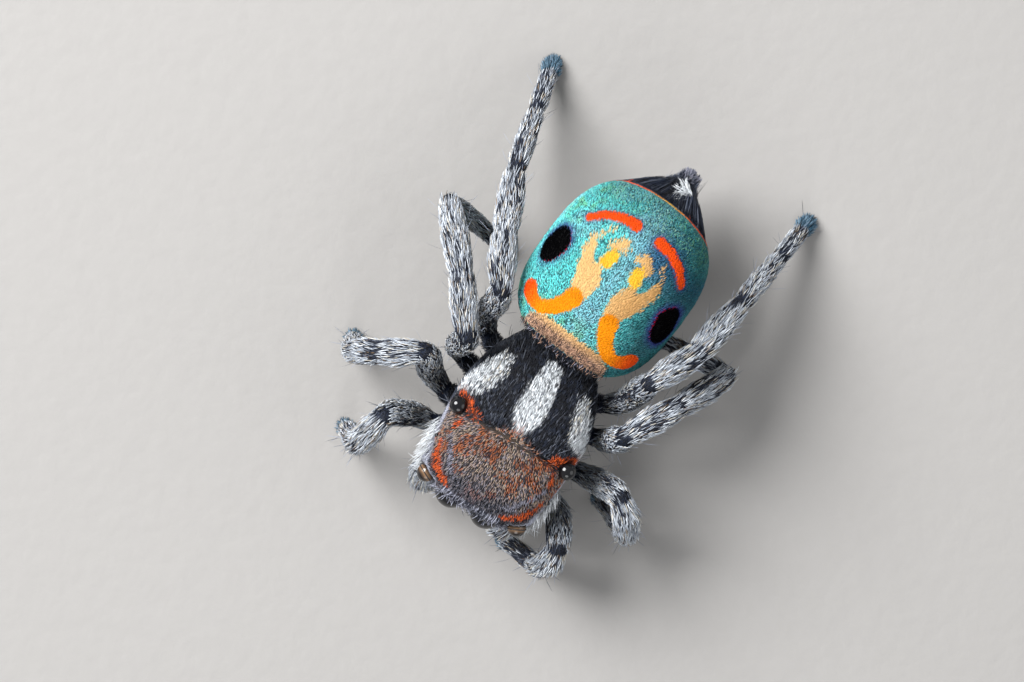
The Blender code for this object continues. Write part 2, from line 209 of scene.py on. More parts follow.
# The abdomen is shifted, leans and is tipped. In its own frame, where its marks are given, it is straight
ABDOMEN_CENTRE = np.array((0.0, 0.90, 1.38))
ABDOMEN_SHIFT = np.array((0.062, -0.072, 0.0))
ABDOMEN_RISE = Matrix.Rotation(math.radians(2.2), 3, "X")
ABDOMEN_LEAN = Matrix.Rotation(math.radians(-4.9), 3, "Y")
ABDOMEN_TURN = np.array(ABDOMEN_RISE @ ABDOMEN_LEAN)
ABDOMEN_HALF = np.array((1.0, 1.15, 0.80))

# Abdomen: half of each marking as (from the midline, along the body, half width)
SPOT_PATH = ((0.845, 0.785, 0.200), (0.815, 0.905, 0.200))
FRONT_MARK_PATH = (
    (0.725, 0.215, 0.140),
    (0.655, 0.165, 0.112),
    (0.510, 0.140, 0.094),
    (0.370, 0.265, 0.096),
    (0.290, 0.420, 0.110),
    (0.265, 0.500, 0.126),
)
REAR_MARK_PATH = ((0.685, 1.375, 0.055), (0.555, 1.520, 0.060), (0.345, 1.630, 0.064), (0.180, 1.650, 0.080))
TAN_PATHS = (
    ((0.24, 0.62, 0.115), (0.27, 0.80, 0.165), (0.33, 0.94, 0.155), (0.42, 1.08, 0.105), (0.49, 1.20, 0.045)),
    ((0.25, 1.28, 0.055), (0.16, 1.38, 0.060), (0.09, 1.33, 0.035)),
)
THIN_TAN_PATH = ((0.50, 1.15, 0.06), (0.45, 1.32, 0.06), (0.36, 1.46, 0.05))
YELLOW_PATH = ((0.205, 1.10, 0.078), (0.185, 1.20, 0.082))
ISLAND_PATH = ((0.31, 1.03, 0.035), (0.355, 1.11, 0.042), (0.37, 1.22, 0.042))
# Painted shade: how much darker the tan marks are on the +X side, turned from the light
TAN_SHADE = (0.80, 0.72, 0.64)
BAND_REAR, BAND_FRONT = 0.115, -0.15
FRINGE_REAR = -0.08
RIM_HEIGHT_SIDE = 1.25
RIM_HEIGHT_REAR = 1.46
WHITE_TUFT = np.array((0.20, 2.13, 1.25))
WHITE_TUFT_SIZE = 0.06
SPINNERET_TIP = np.array((0.095, 2.30, 1.02))
SPINNERET_TIP_RADIUS = 0.065
REAR_FUR_END = np.array((0.11, 2.44, 1.02))
SPINNERET_MIDDLE = np.array((0.10, 2.2, 0.95))

# Half the size of a jaw, and what each claw is like along its length
JAW_HALF = np.array((0.16, 0.16, 0.28))
CLAW_RINGS = {"rings": (0.15, 0.4, 0.6, 0.8, 0.92), "widths": (1.0, 0.9, 0.7, 0.45, 0.25)}

# First seed of each kind of coat that there are several of
LIMB_HAIR_SEED, LONG_HAIR_SEED, CLAW_TUFT_SEED, JAW_SEED, CLAW_SEED = 70, 90, 110, 130, 150

# Camera: where it looks, how far off it is, its compass, height and roll angles, and how much it takes in
CAMERA_TARGET = np.array((-0.462, -0.547, 1.30))
CAMERA_AWAY = 80.0
CAMERA_TURN = math.radians(215)
CAMERA_RISE = math.radians(80)
CAMERA_ROLL = math.radians(178.55)
FIELD_WIDTH = 12.39
SENSOR = 36.0


def length_of(label, says, mm):
    return FloatProperty(name=label, description=says, default=mm * MM, min=0.0, unit="LENGTH", precision=6)


def colour_of(label, says, red, green, blue):
    shown = {"min": 0, "max": 1, "subtype": "COLOR"}
    return FloatVectorProperty(name=label, description=says, default=(red, green, blue), **shown)


def power_of(label, says, watts):
    return FloatProperty(name=label, description=says, default=watts, unit="POWER")


class SpiderSkin(bpy.types.PropertyGroup):
    grain: length_of("Grain", "Size of the squares that the skin is made of", 0.029)
    smoothing: IntProperty(name="Smoothing", description="How often the skin is smoothed", default=9, min=0)
    body_depth: length_of("Coat on the body", "Depth of the coat over head and abdomen", 0.012)


class SpiderCoat(bpy.types.PropertyGroup):
    scale_length: length_of("Scale length", "Length of a scale on the abdomen", 0.042)
    scale_width: length_of("Scale width", "Width of a scale on the abdomen", 0.0135)
    scale_step: length_of("Scale spacing", "Distance between scales on top of the abdomen", 0.0160)
    fringe_length: length_of("Fringe length", "Length of the spiky hairs at the front of the abdomen", 0.11)
    head_length: length_of("Head hair length", "Length of the short hairs on top of the head", 0.058)
    head_width: length_of("Head hair width", "Width of the short hairs on top of the head", 0.0105)
    head_step: length_of("Head hair spacing", "Distance between hairs on the head", 0.0180)
    leg_length: length_of("Leg hair length", "Length of the flat hairs on the legs", 0.16)
    leg_width: length_of("Leg hair width", "Width of the flat hairs on the legs", 0.0130)
    leg_step: length_of("Leg hair spacing", "Distance between hairs on the legs", 0.0210)
    pad_length: length_of("Claw tuft length", "Length of the hairs of a claw tuft", 0.12)
    bristle_length: length_of("Bristle length", "Length of the longest single hairs", 0.42)


class SpiderColours(bpy.types.PropertyGroup):
    teal: colour_of("Teal", "Scales of the abdomen", 0.16, 0.78, 0.78)
    sky: colour_of("Sky", "Bluer scales near the midline", 0.32, 0.66, 0.78)
    # Sea is painted shade on the scales turned from the light, and also the colour of the real dark specks among them
    sea: colour_of("Sea", "Scales of the abdomen that are turned from the light", 0.012, 0.10, 0.13)
    leaf: colour_of("Leaf", "Greener scales at the edges", 0.22, 0.60, 0.22)
    violet: colour_of("Violet", "Scales round the black spots", 0.045, 0.050, 0.30)
    # Navy is painted shade: a deeper blue laid only on the +X side of the abdomen, turned from the light
    navy: colour_of("Navy", "Deep blue scales between bar and spot", 0.03, 0.11, 0.32)
    crimson: colour_of("Crimson", "Flecks at the edge of the black spots", 0.45, 0.01, 0.05)
    orange: colour_of("Orange", "Inner part of the front marks", 0.91, 0.31, 0.002)
    red: colour_of("Red", "Rear bars and outer ends of the front marks", 0.88, 0.085, 0.003)
    tan: colour_of("Tan", "Long hairs on the abdomen", 0.92, 0.60, 0.26)
    yellow: colour_of("Yellow", "Patches beside the middle of the abdomen", 0.95, 0.56, 0.04)
    rose: colour_of("Rose", "Hairs at the front edge of the abdomen", 0.58, 0.36, 0.26)
    black: colour_of("Black", "Bare skin and black hairs", 0.005, 0.005, 0.007)
    slate: colour_of("Slate", "Dark hairs with a blue cast", 0.022, 0.029, 0.050)
    haze: colour_of("Haze", "Blue-grey hairs at the front of the head", 0.33, 0.33, 0.41)
    mist: colour_of("Mist", "Pale lilac hairs of the cheeks", 0.55, 0.57, 0.68)
    grey: colour_of("Grey", "Blue-grey hairs", 0.17, 0.19, 0.24)
    white: colour_of("White", "White hairs", 0.88, 0.92, 0.96)
    silver: colour_of("Silver", "Pale hairs on the legs", 0.56, 0.61, 0.68)
    cream: colour_of("Cream", "Cream hairs", 0.66, 0.56, 0.38)
    gold: colour_of("Gold", "Golden hairs on the legs", 0.22, 0.14, 0.07)
    dust: colour_of("Dust", "Short grey-brown hairs on top of the head", 0.42, 0.31, 0.25)
    rust: colour_of("Rust", "Orange-brown hairs on top of the head", 0.46, 0.13, 0.04)
    ember: colour_of("Ember", "Bright orange hairs beside the eyes", 0.78, 0.125, 0.02)
    pad: colour_of("Pad", "Claw tufts", 0.035, 0.10, 0.16)
    pad_tip: colour_of("Pad tips", "Paler hairs of the claw tufts", 0.17, 0.28, 0.38)
    horn: colour_of("Horn", "Jaws, fangs and claws", 0.045, 0.024, 0.014)
    lens: colour_of("Lens", "Eyes", 0.004, 0.004, 0.005)
    amber: colour_of("Amber", "Glow at the edge of the side eyes", 0.26, 0.15, 0.08)


class SpiderStage(bpy.types.PropertyGroup):
    floor: colour_of("Floor", "Colour of the floor", 0.30, 0.29, 0.28)
    floor_size: length_of("Floor size", "Radius of the round floor", 400.0)
    key_power: power_of("Key light", "Power of the main light", 0.19)
    fill_power: power_of("Fill light", "Power of the softer lights", 0.03)
    sky_strength: FloatProperty(name="Sky", description="Strength of the light from all round", default=0.42)


def settings():
    return bpy.context.scene.spider_skin, bpy.context.scene.spider_coat, bpy.context.scene.spider_colours


# Sums with rows of places


def unit(rows):
    return rows / np.maximum(np.linalg.norm(rows, axis=-1, keepdims=True), 1e-12)


def dot(rows, others):
    return np.sum(rows * others, axis=-1)


def flattened(ways, outs):
    """The ways laid into the surface whose outward directions are given."""
    return unit(ways - dot(ways, outs)[:, None] * outs)


def alike(row, others):
    """One row repeated for each of the others."""
    return np.tile(np.array(row, float), (len(others), 1))


def noise(places, size, seed):
    """Smooth random values from 0 to 1 that change over the given size."""
    table = np.random.default_rng(seed).random((32, 32, 32))
    scaled = places / size
    low = np.floor(scaled).astype(int)
    share = scaled - low
    share = share * share * (3 - 2 * share)
    total = np.zeros(len(places))
    for corner in itertools.product((0, 1), repeat=3):
        weight = np.prod(np.where(corner, share, 1 - share), axis=1)
        total += weight * table[tuple(((low + corner) % 32).T)]
    return total


def inside(distance, soft):
    """1 where a signed distance is well inside, 0 outside, and between over the soft edge."""
    return np.clip(0.5 - distance / soft, 0, 1)


def lay(colours, colour, mask):
    """Colours with one more laid over them where its mask is 1."""
    return colours + (np.array(colour) - colours) * np.asarray(mask)[:, None]


def stroke(places, path):
    """Distance of each place from a brush stroke, negative inside. A path's last column is its half width."""
    path = np.array(path)
    best = np.full(len(places), np.inf)
    for start, end in zip(path, path[1:]):
        run = end[:-1] - start[:-1]
        share = np.clip((places - start[:-1]) @ run / (run @ run), 0, 1)
        gap = np.linalg.norm(places - start[:-1] - share[:, None] * run, axis=1)
        best = np.minimum(best, gap - start[-1] - share * (end[-1] - start[-1]))
    return best


def soft_step(values, start, end):
    """0 up to start, 1 from end on, and smooth between."""
    share = np.clip((values - start) / (end - start), 0, 1)
    return share * share * (3 - 2 * share)


def between(first, second, share):
    """Rows of colours that go from one to another."""
    return np.array(first) + (np.array(second) - np.array(first)) * np.asarray(share)[:, None]


def read(parts, name, kind=float):
    """What each of a mesh's parts holds under a name, as rows of three."""
    held = np.empty(len(parts) * 3, kind)
    parts.foreach_get(name, held)
    return held.reshape(-1, 3)


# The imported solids, as what the skin is laid over


def solid(name):
    """A CAD node as welded places in mm and triangles."""
    mesh = frame["nodes"][name].data
    mesh.calc_loop_triangles()
    places = read(mesh.vertices, "co") / MM
    faces = read(mesh.loop_triangles, "vertices", np.int32)
    _, first, same = np.unique(np.round(places, 4), axis=0, return_index=True, return_inverse=True)
    return places[first], same.reshape(-1)[faces]


def surface_tree(name, turned=None):
    places, faces = solid(name)
    if turned:
        places = turned(places)
    return BVHTree.FromPolygons(places.tolist(), faces.tolist())


def abdomen_own(places):
    """Places in the frame where the abdomen stands straight."""
    return (places - ABDOMEN_CENTRE - ABDOMEN_SHIFT) @ ABDOMEN_TURN + ABDOMEN_CENTRE


def middle(name):
    low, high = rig.box(name)
    return np.array((low + high) / 2) / MM


def meeting(name, other, reach=0.14):
    """The middle of the end of a node that faces another node."""
    places, others = solid(name)[0], solid(other)[0]
    gaps = np.linalg.norm(places[:, None] - others[None], axis=2).min(axis=1)
    return places[gaps < reach].mean(axis=0)


def sections(name, start, end, shares):
    """Middles of cuts across a node, at shares of the way from start to end."""
    places, faces = solid(name)
    edges = np.concatenate([faces[:, [0, 1]], faces[:, [1, 2]], faces[:, [2, 0]]])
    reach = np.linalg.norm(end - start)
    height = (places - start) @ ((end - start) / reach)
    low, high = height[edges].T
    middles = []
    for level in np.array(shares) * reach:
        crossing = (low < level) & (high >= level)
        share = (level - low[crossing]) / (high[crossing] - low[crossing])
        first, second = places[edges[crossing, 0]], places[edges[crossing, 1]]
        middles.append((first + share[:, None] * (second - first)).mean(axis=0))
    return middles


class Limb:
    """The middle line of a leg or palp. Marks count its lengths: 0 at the body, 1 at the first joint."""

    def __init__(self, lengths, count=20):
        """lengths holds the places along each length, both ends included."""
        places, marks = [], []
        for number, points in enumerate(lengths):
            points = np.array(points)
            runs = np.concatenate([[0], np.cumsum(np.linalg.norm(np.diff(points, axis=0), axis=1))])
            shares = np.linspace(0, 1, count, endpoint=number + 1 == len(lengths))
            along = [np.interp(shares * runs[-1], runs, points[:, k]) for k in range(3)]
            places.append(np.column_stack(along))
            marks.append(number + shares)
        self.places = np.concatenate(places)
        self.marks = np.concatenate(marks)
        self.lengths = len(lengths)
        self.ways = unit(np.gradient(self.places, axis=0))
        for _ in range(2):
            self.ways[1:-1] = unit(self.ways[:-2] + 2 * self.ways[1:-1] + self.ways[2:])
        self.sides = unit(np.cross(self.ways, UP))
        self.rises = np.cross(self.sides, self.ways)

    def nearest(self, places):
        """For each place the number of the line's nearest point, and the distance to it."""
        gaps = (places**2).sum(1)[:, None] + (self.places**2).sum(1) - 2 * places @ self.places.T
        found = gaps.argmin(axis=1)
        return found, np.sqrt(np.maximum(gaps[np.arange(len(places)), found], 0))

    def around(self, places, found):
        """The angle round the limb, 0 on top."""
        offset = places - self.places[found]
        return np.arctan2(dot(offset, self.sides[found]), dot(offset, self.rises[found]))


def leg_limb(name):
    pair = int(name[-1])
    femur, knee, foot = (f"{name}_{word}" for word in LEG_WORDS)
    root = meeting(femur, "cephalothorax")
    bend = (meeting(femur, knee) + meeting(knee, femur)) / 2
    ankle = (meeting(knee, foot) + meeting(foot, knee)) / 2
    low = solid(foot)[0]
    tip = low[low[:, 2] < 0.002].mean(axis=0)
    inner = (0.2, 0.35, 0.5, 0.65, 0.8)
    root = root - 0.12 * unit(sections(femur, root, bend, (0.2,))[0] - root)
    lengths = [[root, *sections(femur, root, bend, inner), bend]]
    for node, start, end, share in (
        (knee, bend, ankle, PATELLA_SHARE[pair]),
        (foot, ankle, tip, METATARSUS_SHARE[pair]),
    ):
        joint = sections(node, start, end, (share,))[0]
        lengths.append([start, sections(node, start, end, (share / 2,))[0], joint])
        lengths.append([joint, sections(node, start, end, ((1 + share) / 2,))[0], end])
    return Limb(lengths)


def palp_limb(name):
    start = meeting(name, "cephalothorax")
    places = solid(name)[0]
    end = places[places[:, 2] < places[:, 2].min() + 0.01].mean(axis=0)
    return Limb([[start, *sections(name, start, end, (0.2, 0.4, 0.6, 0.8)), end]], 40)


class Head:
    """Turns places into the head's own, worked out from where its eyes are."""

    eyes_behind_face = 0.035

    def __init__(self):
        front = (middle("eye_anterior_median_left") + middle("eye_anterior_median_right")) / 2
        rear = (middle("eye_posterior_lateral_left") + middle("eye_posterior_lateral_right")) / 2
        back = rear - front
        back[2] = 0
        self.back = unit(back)
        self.left = np.cross(self.back, UP)
        self.face = front * (1, 1, 0) - self.eyes_behind_face * self.back

    def own(self, places):
        offset = places - self.face
        return np.column_stack([offset @ self.left, offset @ self.back, places[:, 2]])

    def world(self, sideways, behind, height):
        return self.face + sideways * self.left + behind * self.back + height * UP

    def way(self, sideways, behind, height):
        """A direction, or rows of them, given by the head's own axes."""
        parts = np.broadcast_arrays(sideways, behind, height)
        return sum(part[..., None] * axis for part, axis in zip(parts, (self.left, self.back, UP)))


HEAD_FRAME = Head()
HEAD_MIDDLE = HEAD_FRAME.world(0, 1.15, 1.35)
HEAD_HALF = np.array((0.86, 1.25, 0.70))
LIMBS = {name: leg_limb(name) for name in LEGS} | {name: palp_limb(name) for name in PALPS}


# Materials


def maths(operation, swapped=False):
    def wired(self, other):
        first, second = (other, self) if swapped else (self, other)
        return self.board.node("ShaderNodeMath", {"operation": operation}, {0: first, 1: second})

    return wired


class Value:
    """A number on its way through a material. Python's own signs wire up its sums."""

    def __init__(self, board, socket):
        self.board = board
        self.socket = socket

    __add__ = maths("ADD")
    __radd__ = maths("ADD", swapped=True)
    __rsub__ = maths("SUBTRACT", swapped=True)
    __mul__ = maths("MULTIPLY")
    __rmul__ = maths("MULTIPLY", swapped=True)
    __pow__ = maths("POWER")


class Board:
    """The nodes of one material."""

    def __init__(self, name):
        self.material = bpy.data.materials.new(name)
        self.material.use_nodes = True
        self.tree = self.material.node_tree
        self.tree.nodes.clear()

    def node(self, kind, choices=None, sockets=None, output=0):
        made = self.tree.nodes.new(kind)
        for key, choice in (choices or {}).items():
            setattr(made, key, choice)
        for key, given in (sockets or {}).items():
            if isinstance(given, Value):
                self.tree.links.new(given.socket, made.inputs[key])
            else:
                made.inputs[key].default_value = given
        return Value(self, made.outputs[output]) if made.outputs else None

    def attribute(self, name, output="Fac"):
        return self.node("ShaderNodeAttribute", {"attribute_name": name}, output=output)

    def places(self):
        return self.node("ShaderNodeTexCoord", output="Object")

    def grain(self, size, detail=2.0):
        """Noise whose lumps are about the given size in mm."""
        sockets = {"Vector": self.places(), "Scale": 1 / (size * MM), "Detail": detail}
        return self.node("ShaderNodeTexNoise", None, sockets, "Fac")

    def mix(self, share, first, second):
        return self.node("ShaderNodeMix", {"data_type": "RGBA"}, {0: share, 6: first, 7: second}, 2)

    def scaled(self, colour, factor):
        return self.node("ShaderNodeVectorMath", {"operation": "SCALE"}, {0: colour, "Scale": factor})

    def bump(self, height, distance):
        sockets = {"Height": height, "Distance": distance * MM, "Strength": 1.0}
        return self.node("ShaderNodeBump", None, sockets)

    def finished(self, **sockets):
        """Ends the material in a Principled shader. A socket's name has _ for each space."""
        named = {key.replace("_", " "): given for key, given in sockets.items()}
        shader = self.node("ShaderNodeBsdfPrincipled", None, named)
        self.node("ShaderNodeOutputMaterial", None, {"Surface": shader})
        return self.material


def opaque(colour, shade=1.0):
    return (*(shade * part for part in colour), 1)


def skin_material():
    board = Board("spider skin")
    pores = {"Vector": board.places(), "Scale": 1 / (0.02 * MM)}
    pits = board.node("ShaderNodeTexVoronoi", None, pores, "Distance")
    colour = board.scaled(board.attribute("tint", "Color"), 0.55 + 0.45 * board.grain(0.03))
    return board.finished(
        Base_Color=colour,
        Roughness=0.42 + 0.2 * board.grain(0.08),
        Specular_IOR_Level=0.10,
        Normal=board.bump(pits, 0.006),
    )


def hair_material(name, roughness, gloss=0.25):
    """Flat hairs: darker at the root as painted shade from the hairs that lie over it, each with its own tone, and
    streaked along their length.
    """
    board = Board(name)
    shade = (0.60 + 0.40 * board.attribute("along")) * (0.80 + 0.34 * board.attribute("chance"))
    shade = shade * (0.88 + 0.24 * board.grain(0.012, 1.0))
    return board.finished(
        Base_Color=board.scaled(board.attribute("tint", "Color"), shade),
        Roughness=roughness - 0.15 * board.attribute("chance"),
        Specular_IOR_Level=gloss,
        Sheen_Weight=0.04,
        Sheen_Roughness=0.4,
        Normal=board.bump(board.grain(0.01, 1.0), 0.002),
    )


def scale_material(name):
    """Scales with a metal glint and a hue that drifts. The attribute glint is 0 on matte marks."""
    board = Board(name)
    chance = board.attribute("chance")
    glint = board.attribute("glint")
    # Painted shade: each scale is darker at its root, where other scales lie over it. On the glinting ground the
    # spread of brightness between scales is random tone and partly painted glint.
    shade = (0.78 - 0.18 * glint + (0.22 + 0.18 * glint) * board.attribute("along")) * (
        0.95 - 0.27 * glint + (0.10 + 0.60 * glint) * chance
    )
    tint = board.scaled(board.attribute("tint", "Color"), shade)
    drift = 0.475 + 0.05 * board.grain(0.05)
    drifted = board.node("ShaderNodeHueSaturation", None, {"Hue": drift, "Color": tint})
    return board.finished(
        Base_Color=board.mix(glint, tint, drifted),
        Roughness=0.55 - 0.17 * glint * chance,
        Metallic=0.35 * glint,
        Specular_IOR_Level=0.15,
        Coat_Weight=0.12 * glint,
        Coat_Roughness=0.3,
        Normal=board.bump(board.grain(0.008, 1.0), 0.001),
    )


def velvet_material(name):
    """Scales so deep a black that they hardly shine."""
    board = Board(name)
    # Painted shade: each scale is darker at its root, where other scales lie over it.
    tint = board.scaled(board.attribute("tint", "Color"), 0.5 + 0.5 * board.attribute("along"))
    return board.finished(
        Base_Color=tint,
        Roughness=0.8 + 0.1 * board.attribute("chance"),
        Specular_IOR_Level=0.02,
        Normal=board.bump(board.grain(0.01, 1.0), 0.002),
    )


def eye_material(colours):
    """A dark glossy lens. The attribute edge is 1 at its rim, where the side eyes glow amber."""
    board = Board("eye lens")
    ring = board.attribute("edge") ** 2.0 * (0.6 + 0.8 * board.grain(0.05))
    return board.finished(
        Base_Color=board.mix(ring, opaque(colours.lens), opaque(colours.amber)),
        Roughness=0.05 + 0.04 * board.grain(0.1),
        Specular_IOR_Level=0.4,
        Coat_Weight=0.15,
    )


def horn_material(name, colour, roughness=0.28):
    board = Board(name)
    rings = board.grain(0.02, 3.0)
    tone = board.mix(board.grain(0.15), opaque(colour), opaque(colour, 2.2))
    return board.finished(
        Base_Color=board.scaled(tone, 0.7 + 0.5 * rings),
        Roughness=roughness + 0.2 * rings,
        Coat_Weight=0.3,
        Normal=board.bump(rings, 0.003),
    )


def floor_material(colour):
    board = Board("pale floor")
    fine, broad = board.grain(0.25, 4.0), board.grain(6.0, 2.0)
    return board.finished(
        Base_Color=board.mix(0.3 * fine + 0.5 * broad, opaque(colour), opaque(colour, 0.93)),
        Roughness=0.7 + 0.15 * fine,
        Normal=board.bump(fine, 0.01),
    )


# Meshes


def new_piece(name, mesh, material, slot, *nodes):
    """A finished piece: shown, riding on the spider's one body, and standing for the given CAD nodes."""
    piece = bpy.data.objects.new(name, mesh)
    bpy.context.scene.collection.objects.link(piece)
    mesh.materials.clear()
    mesh.materials.append(material)
    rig.ride(piece, "root")
    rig.slot(piece, slot)
    if nodes:
        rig.replaces(piece, *nodes)


def mesh_from(name, places, faces, scale=MM):
    """A smooth-shaded mesh in metres from places in mm and triangles."""
    mesh = bpy.data.meshes.new(name)
    mesh.vertices.add(len(places))
    mesh.vertices.foreach_set("co", (places * scale).astype(np.float32).ravel())
    mesh.loops.add(faces.size)
    mesh.loops.foreach_set("vertex_index", faces.astype(np.int32).ravel())
    mesh.polygons.add(len(faces))
    mesh.polygons.foreach_set("loop_start", np.arange(0, faces.size, 3, dtype=np.int32))
    mesh.polygons.foreach_set("use_smooth", np.ones(len(faces), bool))
    mesh.update(calc_edges=True)
    return mesh


def add_tint(mesh, colours):
    layer = mesh.color_attributes.new("tint", "FLOAT_COLOR", "POINT")
    rows = np.column_stack([colours, np.ones(len(colours))])
    layer.data.foreach_set("color", rows.astype(np.float32).ravel())


def add_number(mesh, name, numbers):
    layer = mesh.attributes.new(name, "FLOAT", "POINT")
    layer.data.foreach_set("value", np.asarray(numbers, np.float32))


def remeshed(name, bodies, grain, smoothing):
    """Closed bodies in mm fused into one even, smooth surface. Gives places, outs and triangles."""
    starts = np.cumsum([0] + [len(places) for places, _ in bodies])
    places = np.concatenate([places for places, _ in bodies])
    faces = np.concatenate([faces + start for (_, faces), start in zip(bodies, starts)])
    rough = mesh_from(name, places, faces, 1.0)
    body = bpy.data.objects.new(name, rough)
    bpy.context.scene.collection.objects.link(body)
    fuse = body.modifiers.new("Fuse", "REMESH")
    fuse.mode = "VOXEL"
    fuse.voxel_size = grain
    smooth = body.modifiers.new("Smooth", "SMOOTH")
    smooth.factor = 0.5
    smooth.iterations = smoothing
    smooth.show_viewport = smoothing > 0
    ready = body.evaluated_get(bpy.context.evaluated_depsgraph_get())
    mesh = ready.to_mesh()
    mesh.calc_loop_triangles()
    places, outs = read(mesh.vertices, "co"), read(mesh.vertex_normals, "vector")
    faces = read(mesh.loop_triangles, "vertices", np.int32)
    ready.to_mesh_clear()
    bpy.data.objects.remove(body)
    bpy.data.meshes.remove(rough)
    return places, outs, faces


def ball(around, tiers):
    """A ball of radius 1 as places and triangles."""
    bm = bmesh.new()
    bmesh.ops.create_uvsphere(bm, u_segments=around, v_segments=tiers, radius=1)
    bmesh.ops.triangulate(bm, faces=bm.faces)
    bm.verts.index_update()
    places = np.array([vert.co for vert in bm.verts])
    faces = np.array([[vert.index for vert in face.verts] for face in bm.faces])
    bm.free()
    return places, faces


BALL = ball(24, 14)


def bead(place, radius):
    return BALL[0] * radius + place, BALL[1]


def eye_axis(name):
    """Where an eye looks, as a direction."""
    side = 1 if name.endswith("left") else -1
    if "median" in name:
        return unit(HEAD_FRAME.way(0.06 * side, -1.0, 0.02))
    if "anterior" in name:
        return unit(HEAD_FRAME.way(0.50 * side, -1.0, 0.10))
    return unit(HEAD_FRAME.way(1.0 * side, 0.05, 0.55))


def eye_radius(name):
    low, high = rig.box(name)
    return (high.z - low.z) / 2 / MM


def skin_shape(grain, smoothing):
    bodies = [solid(name) for name in (*BODIES, *PALPS)]
    waist = (meeting("abdomen", "cephalothorax") + meeting("cephalothorax", "abdomen")) / 2
    tail = (meeting("abdomen", "spinnerets", 0.1) + meeting("spinnerets", "abdomen", 0.1)) / 2
    for place, radius in ((waist, WAIST_RADIUS), (tail, TAIL_RADIUS)):
        bodies += [bead(place + (0, step, 0), radius) for step in BRIDGE_STEPS]
    bodies += [bead(middle(name) - EYE_SINK * eye_axis(name), eye_radius(name)) for name in EYES]
    bodies += [bead(LIMBS[name].places[0], 0.1) for name in PALPS]
    for name in LEGS:
        limb = LIMBS[name]
        marks, radii = np.array(LEG_SHAPE).T
        for place, mark in zip(limb.places, limb.marks):
            if mark <= marks[-1]:
                bodies.append(bead(place, np.interp(mark, marks, radii)))
    return remeshed("rough skin", bodies, grain, smoothing)


class Skin:
    """The skin's surface: places, outward directions, faces, and the region and limb of each place."""

    def __init__(self, places, outs, faces):
        self.places, self.outs, self.faces = places, outs, faces
        self.limb = np.full(len(places), -1)
        trees = [surface_tree(name) for name in BODIES]
        gaps = [[tree.find_nearest(place)[3] for place in places.tolist()] for tree in trees]
        self.region = np.argmin(gaps, axis=0)
        body_gap = np.min(gaps, axis=0)
        marks, radii = np.array(LEG_SHAPE).T
        best = np.full(len(places), np.inf)
        for number, (name, limb) in enumerate(LIMBS.items()):
            found, gap = limb.nearest(places)
            radius = np.interp(limb.marks[found], marks, radii) if name in LEGS else PALP_RADIUS
            over = gap - radius
            ours = (over < 0.05) & (over < best) & ((body_gap > 0.03) | (over < -0.02))
            self.region[ours] = LEG if name in LEGS else PALP
            self.limb[ours] = number
            best[ours] = over[ours]

    def scatter(self, spacing, seed, chosen):
        return scatter(self.places, self.outs, self.faces, spacing, seed, chosen)


def scatter(places, outs, faces, spacing, seed, chosen):
    """Roots about one spacing apart on the chosen places of a surface."""
    random = np.random.default_rng(seed)
    faces = faces[chosen[faces].sum(axis=1) >= 2]
    a, b, c = (places[faces[:, k]] for k in range(3))
    area = np.linalg.norm(np.cross(b - a, c - a), axis=1) / 2
    count = int(3.0 * area.sum() / spacing**2)
    total = np.cumsum(area) / area.sum()
    steps = (np.arange(count) + random.random(count)) / count
    picked = faces[np.searchsorted(total, steps).clip(0, len(faces) - 1)]
    share = random.random((count, 2))
    share[share.sum(axis=1) > 1] = 1 - share[share.sum(axis=1) > 1]
    weights = np.column_stack([1 - share.sum(axis=1), share])[:, :, None]
    spots = (places[picked] * weights).sum(axis=1)
    order = random.permutation(count)
    _, first = np.unique(np.floor(spots[order] / spacing).astype(int), axis=0, return_index=True)
    kept = np.sort(order[first])
    return Roots(spots[kept], unit((outs[picked[kept]] * weights[kept]).sum(axis=1)), random)


class Roots:
    """Where tufts grow, with the direction out of the skin, and random values to vary them by."""

    def __init__(self, places, outs, random):
        self.places, self.outs, self.random = places, outs, random
        self.chance = random.random(len(places))

    def __len__(self):
        return len(self.places)

    def only(self, chosen):
        return Roots(self.places[chosen], self.outs[chosen], self.random)

    def spread(self, low, high):
        return self.random.uniform(low, high, len(self))

    def jitter(self, amount):
        """Random offsets whose parts are up to half the amount."""
        return amount * (self.random.random((len(self), 3)) - 0.5)


def ball_patch(places, centre, half):
    """Where places lie on an equal-area unwrap of a rounded body from its top."""
    way = unit((places - centre) / half)
    reach = np.sqrt(np.clip((1 - way[:, 2]) / 2, 0, 1))
    flat = unit(way[:, :2])
    return 0.5 + 0.48 * reach[:, None] * flat


def limb_patch(marks, around, lengths):
    """Where places lie on an unwrap of a limb slit along its underside."""
    along, across = np.clip(marks / lengths, 0, 1), around / math.pi
    return np.column_stack([0.02 + 0.96 * along, 0.5 + 0.48 * across])


